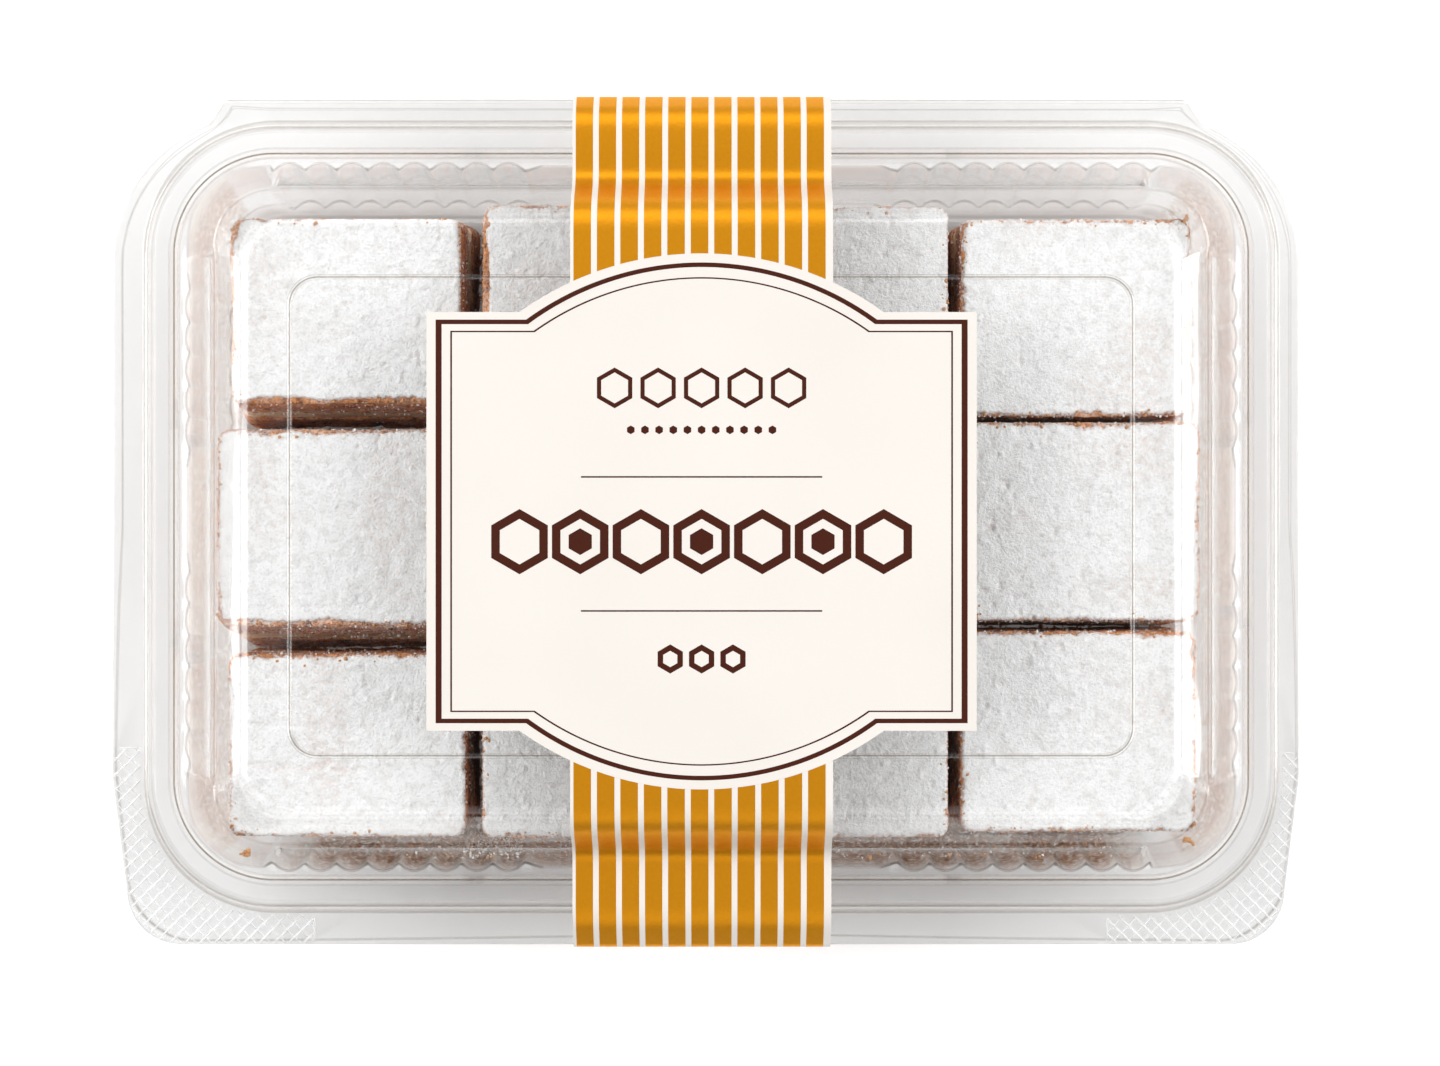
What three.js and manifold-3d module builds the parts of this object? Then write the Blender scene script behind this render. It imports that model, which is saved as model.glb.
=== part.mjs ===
// Twelve squares of layered honey cake, dusted with icing sugar, in a shut clear clamshell
// with a striped paper label across it. Millimetres, +Z up, +Y towards the hinge.
// The origin is on the table, under the middle of the pack.

import * as THREE from 'three';
import { mergeVertices } from 'three/addons/utils/BufferGeometryUtils.js';
import Module from 'manifold-3d';

const wasm = await Module();
wasm.setup();

// Driving dimensions of the pack. The flange is trimmed a little off the moulded form's
// centre, and CLEARANCE parts the pieces that touch.
const SHEET = 0.5;
const CLEARANCE = 0.3;
const FORM_CENTRE = new THREE.Vector2(1.1, 1.0);
const FLANGE_HALF_X = 120.15;
const FLANGE_HALF_Y = 85.6;
const TRAY_FLANGE_TOP = 36.7;
const LID_FLANGE_TOP = TRAY_FLANGE_TOP + CLEARANCE + SHEET;
const RIM_HEIGHT = 4.4;
const GROOVE_HEIGHT = 2.7;
const PLATEAU_HEIGHT = 14;
const BEAD_HEIGHT = 1;
const PANEL_LINE_DEPTH = 0.25;

// The outer flange: large arcs behind, a proud hinge strip, tapered pull tabs in front.
// A curved notch, by its points beside and in front of the strip's end, parts arc and strip.
const BACK_ARC = 30;
const BACK_ARC_END = THREE.MathUtils.degToRad(62);
const HINGE_STEP = 3.4;
const HINGE_HALF = 97.5;
const HINGE_NOTCH = [
  { beside: 2.9, before: 4.4 },
  { beside: 1.2, before: 2 },
  { beside: 0, before: 0 },
];
const FRONT_ARC = 11;
const FRONT_ARC_X = 106.3;
const TAPER_START = -52;

// Flutes that stiffen the tray's walls. FLUTE_SHAPE gives one flute's points, by how far
// along its pitch and how far in each one lies.
const FLUTE_DEPTH = 1.8;
const FLUTE_PITCH = 6.36;
const FLUTE_SHAPE = [
  { along: 0, inset: 1 },
  { along: 0.22, inset: 0.25 },
  { along: 0.5, inset: 0 },
  { along: 0.78, inset: 0.25 },
];
const LONG_WALL_FLUTES = [
  { middle: -63.5, count: 8 },
  { middle: 63.5, count: 8 },
];
const SHORT_WALL_FLUTES = [
  { middle: -30.5, count: 6 },
  { middle: 30, count: 5 },
];

// Raised beads at the foot of the lid's bevel, by half-length
const BEAD_END = 1.2;
const SHORT_SIDE_BEAD = 52.6;
const LONG_SIDE_BEAD = 86.8;

// The paper label: a band from front to back that widens to an arched plaque on the lid
const LABEL_THICKNESS = 0.3;
const LABEL_CENTRE_X = -0.75;
const LABEL_BAND_HALF = 26;
const LABEL_RETURN = 5;
const PLAQUE_HALF_X = 54.4;
const PLAQUE_HALF_Y = 41.4;
const PLAQUE_APEX = 53;
const PLAQUE_ARCH_HALF = 36;

// The cake: a lower sheet, cream, an upper sheet and the icing sugar, from the tray's floor up
const LOWER_SHEET_HEIGHT = 11;
const CREAM_HEIGHT = 5.3;
const UPPER_SHEET_HEIGHT = 10.7;
const SUGAR_HEIGHT = 1;
const CREAM_INSET = 0.5;
const SUGAR_INSET = 0.9;
const CRUST_ROUNDING = 0.7;
const SQUARE_CORNER = 2.4;
const CUT_WAVE = 0.22;
const WAVE_SEED = 7;

// Where the knife went at the bottom of the slab: three rows from the hinge, four columns
const BOTTOM_ROWS = [
  { back: 63.2, front: 20.5 },
  { back: 19.2, front: -21.6 },
  { back: -22.8, front: -63.2 },
];
const BOTTOM_COLUMNS = [
  { left: -98.4, right: -48.9 },
  { left: -47.6, right: 1.0 },
  { left: 2.2, right: 50.4 },
  { left: 51.6, right: 100.2 },
];

// In the first column the second square leans, so its foot and the next square's lie further
// forward than that cut
const MOVED_FEET = {
  square_2_1: { front: -26.1 },
  square_3_1: { back: -27.3 },
};

// The tops spread or lean, so each square's top has edges of its own
const TOPS = [
  [
    { left: -97.4, right: -50.4, back: 62.1, front: 24.6 },
    { left: -45.7, right: 1.0, back: 65.1, front: 22.6 },
    { left: 2.6, right: 49.6, back: 64.6, front: 22.4 },
    { left: 52.5, right: 99.2, back: 61.9, front: 21.9 },
  ],
  [
    { left: -100.4, right: -49.4, back: 18.8, front: -21.1 },
    { left: -46.2, right: 0.8, back: 20.3, front: -21.4 },
    { left: 2.5, right: 49.5, back: 20.6, front: -21.2 },
    { left: 54.2, right: 101.3, back: 20.4, front: -20.1 },
  ],
  [
    { left: -97.9, right: -49.4, back: -27.3, front: -64.6 },
    { left: -45.8, right: 1.1, back: -23.6, front: -64.8 },
    { left: 2.8, right: 49.6, back: -23.4, front: -64.7 },
    { left: 52.5, right: 100.6, back: -22.6, front: -63.6 },
  ],
];

// Resolution of the outlines
const CORNER_STEPS = 8;
const SQUARE_CORNER_STEPS = 1;
const SQUARE_SIDE_POINTS = [-0.4, 0.4];

// A ring's points carry a station, from 0 to 4 round its four sides, so that rings with
// different points can be joined. A side's straight part takes this share of its station.
const SIDE_SHARE = 0.7;
const CORNER_SHARE = 1 - SIDE_SHARE;

const PLASTIC = new THREE.MeshStandardMaterial({
  color: 0xeef0f0,
  roughness: 0.08,
  metalness: 0,
  transparent: true,
  opacity: 0.25,
});
const PAPER = new THREE.MeshStandardMaterial({ color: 0xf7eede, roughness: 0.45, metalness: 0 });
const SPONGE = new THREE.MeshStandardMaterial({ color: 0xb0703c, roughness: 0.9, metalness: 0 });
const CREAM = new THREE.MeshStandardMaterial({ color: 0xe2cdb0, roughness: 0.6, metalness: 0 });
const SUGAR = new THREE.MeshStandardMaterial({ color: 0xf4f2ef, roughness: 0.95, metalness: 0 });

// The four sides in order, anticlockwise from the right, by the way that each one faces
const SIDES = [
  { faces: new THREE.Vector2(1, 0), runs: new THREE.Vector2(0, 1) },
  { faces: new THREE.Vector2(0, 1), runs: new THREE.Vector2(-1, 0) },
  { faces: new THREE.Vector2(-1, 0), runs: new THREE.Vector2(0, -1) },
  { faces: new THREE.Vector2(0, -1), runs: new THREE.Vector2(1, 0) },
];

// Rings

function ringPoint(x, y, z, station) {
  return { x, y, z, station };
}

// A rounded rectangle at height z. marks gives the points between its corners, side by side,
// each with its distance along the side from the side's middle, inset and lift.
function roundedRing({ halfX, halfY, radius, z, centre = FORM_CENTRE, marks, steps = CORNER_STEPS }) {
  const points = [];
  SIDES.forEach(({ faces, runs }, side) => {
    const reach = side % 2 === 0 ? halfX : halfY;
    const straight = (side % 2 === 0 ? halfY : halfX) - radius;
    const sideMarks = marks ? marks[side % 2](side, straight) : [{ along: 0, inset: 0, lift: 0 }];
    for (const { along, inset, lift } of sideMarks) {
      const spot = centre.clone().addScaledVector(faces, reach - inset).addScaledVector(runs, along);
      const share = SIDE_SHARE * (0.5 + along / (2 * straight));
      points.push(ringPoint(spot.x, spot.y, z + lift, side + share));
    }
    const middle = centre.clone();
    middle.addScaledVector(faces, reach - radius);
    middle.addScaledVector(runs, straight);
    for (let step = 0; step <= steps; step += 1) {
      const angle = (step / steps) * (Math.PI / 2);
      const spot = middle.clone();
      spot.addScaledVector(faces, radius * Math.cos(angle));
      spot.addScaledVector(runs, radius * Math.sin(angle));
      const share = SIDE_SHARE + CORNER_SHARE * (step / (steps + 1));
      points.push(ringPoint(spot.x, spot.y, z, side + share));
    }
  });
  return points;
}

// The same ring moved in by an inset, for the sheet's other face and for narrow lines
function inside(ring, inset, z = ring.z) {
  return { ...ring, halfX: ring.halfX - inset, halfY: ring.halfY - inset, radius: ring.radius - inset, z };
}

// Flutes along one wall, as marks
function fluteMarks(groups) {
  const marks = [];
  for (const { middle, count } of groups) {
    const start = middle - (count * FLUTE_PITCH) / 2;
    for (let flute = 0; flute < count; flute += 1) {
      for (const { along, inset } of FLUTE_SHAPE) {
        marks.push({ along: start + (flute + along) * FLUTE_PITCH, inset: inset * FLUTE_DEPTH, lift: 0 });
      }
    }
    marks.push({ along: start + count * FLUTE_PITCH, inset: FLUTE_DEPTH, lift: 0 });
  }
  return marks;
}

// The short walls' two groups differ in length, so the left wall runs through them backwards
const FLUTES = [
  (side) => {
    if (side === 0) {
      return fluteMarks(SHORT_WALL_FLUTES);
    }
    const turned = SHORT_WALL_FLUTES.map(({ middle, count }) => ({ middle: -middle, count }));
    return fluteMarks(turned.reverse());
  },
  () => fluteMarks(LONG_WALL_FLUTES),
];

// The crest of the beads: up along each side's middle, down to the lid at both ends
function beadMarks(halfLength, lift) {
  return [
    { along: -halfLength - BEAD_END, inset: 0, lift: 0 },
    { along: -halfLength, inset: 0, lift },
    { along: halfLength, inset: 0, lift },
    { along: halfLength + BEAD_END, inset: 0, lift: 0 },
  ];
}

function beads(lift) {
  return [() => beadMarks(SHORT_SIDE_BEAD, lift), () => beadMarks(LONG_SIDE_BEAD, lift)];
}

// The flange's right edge, from its taper back round the arc and the notch to the hinge
function flangeSide(hingeEdge) {
  const arcX = FLANGE_HALF_X - BACK_ARC;
  const arcY = FLANGE_HALF_Y - HINGE_STEP - BACK_ARC;
  const edge = [
    { x: FLANGE_HALF_X, y: TAPER_START, station: 0.15 },
    { x: FLANGE_HALF_X, y: 0, station: SIDE_SHARE / 2 },
  ];
  for (let step = 0; step <= CORNER_STEPS; step += 1) {
    const angle = (step / CORNER_STEPS) * BACK_ARC_END;
    const x = arcX + BACK_ARC * Math.cos(angle);
    const y = arcY + BACK_ARC * Math.sin(angle);
    edge.push({ x, y, station: SIDE_SHARE + 0.8 * CORNER_SHARE * (step / CORNER_STEPS) });
  }
  HINGE_NOTCH.forEach(({ beside, before }, index) => {
    const station = 1 - 0.1 * CORNER_SHARE * (HINGE_NOTCH.length - index);
    edge.push({ x: HINGE_HALF + beside, y: hingeEdge - before, station });
  });
  return edge;
}

// The arc of one pull tab, from the angle where it starts, over a quarter turn
function tabArc(side, startAngle, station) {
  return Array.from({ length: CORNER_STEPS + 1 }, (_, step) => {
    const angle = startAngle + (step / CORNER_STEPS) * (Math.PI / 2);
    return {
      x: side * FRONT_ARC_X + FRONT_ARC * Math.cos(angle),
      y: FRONT_ARC - FLANGE_HALF_Y + FRONT_ARC * Math.sin(angle),
      station: station + CORNER_SHARE * (step / (CORNER_STEPS + 1)),
    };
  });
}

// The flange's outline: arcs at the back that end in a notch beside the hinge strip,
// and sides that taper to the two pull tabs in front
function flangeRing(z, hingeEdge) {
  const right = flangeSide(hingeEdge);
  const left = right.map(({ x, y, station }) => ({ x: -x, y, station: 2 + SIDE_SHARE - station }));
  const outline = [
    ...right,
    { x: 0, y: hingeEdge, station: 1 + SIDE_SHARE / 2 },
    ...left.reverse(),
    ...tabArc(-1, Math.PI, 2 + SIDE_SHARE),
    { x: 0, y: -FLANGE_HALF_Y, station: 3 + SIDE_SHARE / 2 },
    ...tabArc(1, 1.5 * Math.PI, 3 + SIDE_SHARE),
  ];
  return outline.map(({ x, y, station }) => ringPoint(x, y, z, station));
}

// Solids

function solidFrom(positions, indices) {
  const geometry = new THREE.BufferGeometry();
  geometry.setAttribute('position', new THREE.Float32BufferAttribute(positions, 3));
  geometry.setIndex(indices);
  geometry.computeVertexNormals();
  return geometry;
}

// Joins two rings by triangles, whatever points each one has
function joinRings(lower, lowerStart, upper, upperStart, indices) {
  let a = 0;
  let b = 0;
  const station = (ring, index) => ring[index % ring.length].station + (index >= ring.length ? 4 : 0);
  while (a < lower.length || b < upper.length) {
    const here = lowerStart + (a % lower.length);
    const there = upperStart + (b % upper.length);
    const stepLower = b >= upper.length
      || (a < lower.length && station(lower, a + 1) < station(upper, b + 1));
    if (stepLower) {
      indices.push(here, there, lowerStart + ((a + 1) % lower.length));
      a += 1;
    } else {
      indices.push(here, there, upperStart + ((b + 1) % upper.length));
      b += 1;
    }
  }
}

// A closed solid through a list of rings, from the middle of its top surface outwards and
// back under to the middle of its underside, shut by a fan at each end
function solidThroughRings(rings) {
  const positions = [];
  const indices = [];
  const starts = rings.map((ring) => {
    const start = positions.length / 3;
    ring.forEach(({ x, y, z }) => positions.push(x, y, z));
    return start;
  });
  for (let index = 0; index + 1 < rings.length; index += 1) {
    joinRings(rings[index], starts[index], rings[index + 1], starts[index + 1], indices);
  }
  const shut = (ring, start, up) => {
    const count = ring.length;
    const middle = positions.length / 3;
    const sum = (axis) => ring.reduce((total, point) => total + point[axis], 0) / count;
    positions.push(sum('x'), sum('y'), sum('z'));
    for (let index = 0; index < count; index += 1) {
      const pair = [start + index, start + ((index + 1) % count)];
      indices.push(middle, ...(up ? pair : pair.reverse()));
    }
  };
  shut(rings[0], starts[0], true);
  shut(rings.at(-1), starts.at(-1), false);
  return solidFrom(positions, indices);
}

function toManifold(geometry) {
  const bare = geometry.clone();
  bare.deleteAttribute('normal');
  bare.deleteAttribute('uv');
  const merged = mergeVertices(bare, 1e-4);
  const vertProperties = new Float32Array(merged.attributes.position.array);
  const triVerts = new Uint32Array(merged.index.array);
  return new wasm.Manifold(new wasm.Mesh({ numProp: 3, vertProperties, triVerts }));
}

function named(name, geometry, material) {
  const piece = new THREE.Mesh(geometry, material);
  piece.name = name;
  return piece;
}

function fromManifold(solid) {
  const { vertProperties, triVerts } = solid.getMesh();
  return solidFrom(Array.from(vertProperties), Array.from(triVerts));
}

// The tray, by the rings of its inner face from the floor up and out

const TRAY_BEAD_TOP = TRAY_FLANGE_TOP + RIM_HEIGHT;
const TRAY_FLOOR = { halfX: 101, halfY: 65.4, radius: 11, z: SHEET };
const WALL_FOOT = { halfX: 103.3, halfY: 67.7, radius: 12, z: 2.5, marks: FLUTES };
const WALL_TOP = { halfX: 107, halfY: 71.8, radius: 17, z: TRAY_FLANGE_TOP - 1.7, marks: FLUTES };
const TRAY_MOUTH = { halfX: 107.7, halfY: 72.4, radius: 20, z: TRAY_FLANGE_TOP - 0.5 };
const TRAY_BEAD_INNER = { halfX: 109, halfY: 74, radius: 21, z: TRAY_BEAD_TOP };
const TRAY_BEAD_OUTER = { halfX: 112.3, halfY: 77.4, radius: 24.4, z: TRAY_BEAD_TOP };
const TRAY_BEAD_FOOT = { halfX: 113.6, halfY: 78.9, radius: 25.8, z: TRAY_FLANGE_TOP };

// One thermoformed sheet: fluted walls, a bead that fills the lid's rim, and the flange
function trayShell() {
  const under = (ring, inset, drop) => roundedRing(inside(ring, inset, ring.z - drop));
  return solidThroughRings([
    roundedRing(TRAY_FLOOR),
    roundedRing(WALL_FOOT),
    roundedRing(WALL_TOP),
    roundedRing(TRAY_MOUTH),
    roundedRing(TRAY_BEAD_INNER),
    roundedRing(TRAY_BEAD_OUTER),
    roundedRing(TRAY_BEAD_FOOT),
    flangeRing(TRAY_FLANGE_TOP, FLANGE_HALF_Y),
    flangeRing(TRAY_FLANGE_TOP - SHEET, FLANGE_HALF_Y),
    under(TRAY_BEAD_FOOT, SHEET, SHEET),
    under(TRAY_BEAD_OUTER, SHEET, SHEET),
    under(TRAY_BEAD_INNER, -SHEET, SHEET),
    under(TRAY_MOUTH, -SHEET, SHEET),
    under(WALL_TOP, -SHEET, 0.6 * SHEET),
    under(WALL_FOOT, -SHEET, 0.6 * SHEET),
    under(TRAY_FLOOR, -0.6 * SHEET, SHEET),
  ]);
}

// The fold that joins tray and lid behind, standing on the tray's flange
function hingeFold() {
  const height = LID_FLANGE_TOP - TRAY_FLANGE_TOP + SHEET;
  const fold = new THREE.BoxGeometry(2 * HINGE_HALF - 1, SHEET, height);
  fold.translate(0, FLANGE_HALF_Y - SHEET / 2, LID_FLANGE_TOP - height / 2);
  return fold;
}

function tray() {
  return fromManifold(toManifold(trayShell()).add(toManifold(hingeFold())));
}

// The lid, by the rings of its top face from the rim in to the panel line

const RIM_TOP = LID_FLANGE_TOP + RIM_HEIGHT;
const GROOVE = LID_FLANGE_TOP + GROOVE_HEIGHT;
const PLATEAU = LID_FLANGE_TOP + PLATEAU_HEIGHT;
const PANEL_LINE_HALF_WIDTH = 0.5;

const RISER_FOOT = { halfX: 114.9, halfY: 80.2, radius: 27, z: LID_FLANGE_TOP };
const RIM_OUTER = { halfX: 113.4, halfY: 78.45, radius: 25.5, z: RIM_TOP };
const RIM_INNER = { halfX: 107.9, halfY: 72.9, radius: 20, z: RIM_TOP };
const GROOVE_FOOT = { halfX: 107.4, halfY: 72.3, radius: 19.5, z: GROOVE };
const BEAD_OUTER = { halfX: 102.2, halfY: 68.1, radius: 13, z: GROOVE };
const BEAD_CREST = { halfX: 101.1, halfY: 67, radius: 12.2, z: GROOVE };
const BEVEL_FOOT = { halfX: 100, halfY: 66, radius: 11.4, z: GROOVE };
const PLATEAU_EDGE = { halfX: 93, halfY: 59.3, radius: 9, z: PLATEAU };
const PANEL_LINE = { halfX: 83.5, halfY: 47.4, radius: 5.6, z: PLATEAU - PANEL_LINE_DEPTH };

function lid() {
  const hingeEdge = FLANGE_HALF_Y - SHEET - CLEARANCE;
  const under = (ring, inset) => roundedRing(inside(ring, inset, ring.z - SHEET));
  return solidThroughRings([
    roundedRing(inside(PANEL_LINE, PANEL_LINE_HALF_WIDTH, PLATEAU)),
    roundedRing(PANEL_LINE),
    roundedRing(inside(PANEL_LINE, -PANEL_LINE_HALF_WIDTH, PLATEAU)),
    roundedRing(PLATEAU_EDGE),
    roundedRing({ ...BEVEL_FOOT, marks: beads(0) }),
    roundedRing({ ...BEAD_CREST, marks: beads(BEAD_HEIGHT) }),
    roundedRing({ ...BEAD_OUTER, marks: beads(0) }),
    roundedRing(GROOVE_FOOT),
    roundedRing(RIM_INNER),
    roundedRing(RIM_OUTER),
    roundedRing(RISER_FOOT),
    flangeRing(LID_FLANGE_TOP, hingeEdge),
    flangeRing(LID_FLANGE_TOP - SHEET, hingeEdge),
    under(RISER_FOOT, SHEET),
    under(RIM_OUTER, SHEET),
    under(RIM_INNER, -0.8 * SHEET),
    under(GROOVE_FOOT, -0.8 * SHEET),
    under(BEVEL_FOOT, 0.8 * SHEET),
    under(PLATEAU_EDGE, 0.8 * SHEET),
  ]);
}

// The label

// The pack's surface under the band, as (y, z) points from the lid's middle out over the
// bead, round the flange's edge and a little way back under it, towards the back or front
function surfaceUnderBand(towards) {
  const shift = towards * FORM_CENTRE.y;
  const beadTop = GROOVE + BEAD_HEIGHT;
  const flangeUnder = TRAY_FLANGE_TOP - SHEET;
  return [
    [PLATEAU_EDGE.halfY + shift, PLATEAU],
    [BEVEL_FOOT.halfY - 0.8 + shift, beadTop + 0.35],
    [BEAD_CREST.halfY - 0.6 + shift, beadTop],
    [BEAD_CREST.halfY + 0.5 + shift, beadTop],
    [BEAD_OUTER.halfY + 0.3 + shift, GROOVE],
    [GROOVE_FOOT.halfY + shift, GROOVE],
    [RIM_INNER.halfY + shift, RIM_TOP],
    [RIM_OUTER.halfY + shift, RIM_TOP],
    [RISER_FOOT.halfY + shift, LID_FLANGE_TOP],
    [FLANGE_HALF_Y, LID_FLANGE_TOP],
    [FLANGE_HALF_Y, flangeUnder],
    [FLANGE_HALF_Y - LABEL_RETURN, flangeUnder],
  ].map(([y, z]) => new THREE.Vector2(y * towards, z));
}

// A line moved sideways by a distance, with its corners mitred
function offsetLine(points, distance) {
  return points.map((point, index) => {
    const before = points[Math.max(index - 1, 0)];
    const after = points[Math.min(index + 1, points.length - 1)];
    const inward = point.clone().sub(before).normalize();
    const outward = after.clone().sub(point).normalize();
    const first = index === 0 ? outward : inward;
    const second = index === points.length - 1 ? inward : outward;
    const normal = new THREE.Vector2(-first.y - second.y, first.x + second.x).normalize();
    const stretch = normal.dot(new THREE.Vector2(-first.y, first.x));
    return point.clone().addScaledVector(normal, distance / stretch);
  });
}

function labelBand() {
  const path = [...surfaceUnderBand(-1).reverse(), ...surfaceUnderBand(1)];
  const under = offsetLine(path, CLEARANCE);
  const over = offsetLine(path, CLEARANCE + LABEL_THICKNESS);
  const section = new THREE.Shape([...under, ...over.reverse()]);
  const band = new THREE.ExtrudeGeometry(section, { depth: 2 * LABEL_BAND_HALF, bevelEnabled: false });
  const yAxis = new THREE.Vector3(0, 1, 0);
  const zAxis = new THREE.Vector3(0, 0, 1);
  const xAxis = new THREE.Vector3(1, 0, 0);
  band.applyMatrix4(new THREE.Matrix4().makeBasis(yAxis, zAxis, xAxis));
  band.translate(LABEL_CENTRE_X - LABEL_BAND_HALF, 0, 0);
  return band;
}

function plaque() {
  const rise = PLAQUE_APEX - PLAQUE_HALF_Y;
  const radius = (PLAQUE_ARCH_HALF ** 2 + rise ** 2) / (2 * rise);
  const spread = Math.asin(PLAQUE_ARCH_HALF / radius);
  const outline = new THREE.Shape();
  outline.moveTo(-PLAQUE_HALF_X, -PLAQUE_HALF_Y);
  outline.lineTo(-PLAQUE_ARCH_HALF, -PLAQUE_HALF_Y);
  const downward = 1.5 * Math.PI;
  outline.absarc(0, radius - PLAQUE_APEX, radius, downward - spread, downward + spread);
  outline.lineTo(PLAQUE_HALF_X, -PLAQUE_HALF_Y);
  outline.lineTo(PLAQUE_HALF_X, PLAQUE_HALF_Y);
  outline.lineTo(PLAQUE_ARCH_HALF, PLAQUE_HALF_Y);
  const upward = 0.5 * Math.PI;
  outline.absarc(0, PLAQUE_APEX - radius, radius, upward - spread, upward + spread);
  outline.lineTo(-PLAQUE_HALF_X, PLAQUE_HALF_Y);
  outline.closePath();
  const flat = new THREE.ExtrudeGeometry(outline, {
    depth: LABEL_THICKNESS,
    bevelEnabled: false,
    curveSegments: 16,
  });
  flat.translate(LABEL_CENTRE_X, 0, PLATEAU + CLEARANCE);
  return flat;
}

function label() {
  return fromManifold(toManifold(labelBand()).add(toManifold(plaque())));
}

// The squares of cake

// A small repeatable random source
function randomFrom(seed) {
  let state = seed;
  return () => {
    state = (state * 16807) % 2147483647;
    return state / 2147483647 - 0.5;
  };
}

// A square's outline at a height, between its cut at the bottom and its spread top.
// waves moves each point in or out a little, the same way at every height of one layer.
function squareRing(bottom, top, share, inset, z, waves) {
  const edge = (name) => THREE.MathUtils.lerp(bottom[name], top[name], share);
  const halfX = (edge('right') - edge('left')) / 2 - inset;
  const halfY = (edge('back') - edge('front')) / 2 - inset;
  const centre = new THREE.Vector2((edge('left') + edge('right')) / 2, (edge('back') + edge('front')) / 2);
  const sideMarks = (side, straight) => SQUARE_SIDE_POINTS.map((place, index) => ({
    along: place * straight,
    inset: CUT_WAVE * waves[side * SQUARE_SIDE_POINTS.length + index],
    lift: 0,
  }));
  const marks = [sideMarks, sideMarks];
  return roundedRing({ halfX, halfY, radius: SQUARE_CORNER, z, centre, marks, steps: SQUARE_CORNER_STEPS });
}

// One layer of a square, from its lowest to its highest face, with its edges eased by rounding
function layer(square, from, height, inset, rounding) {
  const waves = Array.from({ length: SIDES.length * SQUARE_SIDE_POINTS.length }, () => 1 + square.random());
  const ring = (z, extra) => {
    const share = (z - square.floor) / square.height;
    return squareRing(square.bottom, square.top, share, inset + extra, z, waves);
  };
  const to = from + height;
  if (rounding === 0) {
    return solidThroughRings([ring(to, 0), ring(from, 0)]);
  }
  const faces = [ring(to, rounding), ring(to - rounding, 0), ring(from + rounding, 0), ring(from, rounding)];
  return solidThroughRings(faces);
}

function squareLayers(square) {
  const creamFrom = square.floor + LOWER_SHEET_HEIGHT + CLEARANCE;
  const upperFrom = creamFrom + CREAM_HEIGHT + CLEARANCE;
  const sugarFrom = upperFrom + UPPER_SHEET_HEIGHT + CLEARANCE;
  const lowerSheet = layer(square, square.floor, LOWER_SHEET_HEIGHT, 0, CRUST_ROUNDING);
  const cream = layer(square, creamFrom, CREAM_HEIGHT, CREAM_INSET, 0);
  const upperSheet = layer(square, upperFrom, UPPER_SHEET_HEIGHT, 0, CRUST_ROUNDING);
  const sugar = layer(square, sugarFrom, SUGAR_HEIGHT, SUGAR_INSET, 0);
  return [
    named(`${square.name}_lower_sheet`, lowerSheet, SPONGE),
    named(`${square.name}_cream`, cream, CREAM),
    named(`${square.name}_upper_sheet`, upperSheet, SPONGE),
    named(`${square.name}_sugar`, sugar, SUGAR),
  ];
}

function cakeSquares() {
  const random = randomFrom(WAVE_SEED);
  const squares = new THREE.Group();
  const height = LOWER_SHEET_HEIGHT + CREAM_HEIGHT + UPPER_SHEET_HEIGHT + SUGAR_HEIGHT + 3 * CLEARANCE;
  TOPS.forEach((rowOfTops, row) => {
    rowOfTops.forEach((top, column) => {
      const name = `square_${row + 1}_${column + 1}`;
      const bottom = { ...BOTTOM_ROWS[row], ...BOTTOM_COLUMNS[column], ...MOVED_FEET[name] };
      squares.add(...squareLayers({ name, top, bottom, height, floor: SHEET + CLEARANCE, random }));
    });
  });
  return squares;
}

const pack = new THREE.Group();
pack.add(named('tray', tray(), PLASTIC));
pack.add(named('lid', lid(), PLASTIC));
pack.add(named('label', label(), PAPER));
pack.add(cakeSquares());

export default pack;
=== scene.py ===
import itertools
import math

import bpy
import numpy as np
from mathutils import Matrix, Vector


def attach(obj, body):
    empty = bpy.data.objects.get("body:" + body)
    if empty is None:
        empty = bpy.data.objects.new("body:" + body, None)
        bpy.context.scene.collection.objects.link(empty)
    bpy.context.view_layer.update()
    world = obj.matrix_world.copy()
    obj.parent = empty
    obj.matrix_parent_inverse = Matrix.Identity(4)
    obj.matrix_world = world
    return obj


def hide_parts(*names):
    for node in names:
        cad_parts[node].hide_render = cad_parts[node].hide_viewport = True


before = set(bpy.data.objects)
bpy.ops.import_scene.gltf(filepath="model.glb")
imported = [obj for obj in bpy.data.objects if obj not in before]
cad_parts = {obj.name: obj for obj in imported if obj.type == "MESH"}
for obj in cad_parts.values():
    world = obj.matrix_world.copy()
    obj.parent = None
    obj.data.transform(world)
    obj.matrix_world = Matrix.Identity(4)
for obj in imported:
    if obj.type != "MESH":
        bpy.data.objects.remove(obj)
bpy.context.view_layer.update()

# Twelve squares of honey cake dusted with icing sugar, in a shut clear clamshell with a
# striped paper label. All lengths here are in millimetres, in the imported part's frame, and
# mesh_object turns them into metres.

MM = 0.001

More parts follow.
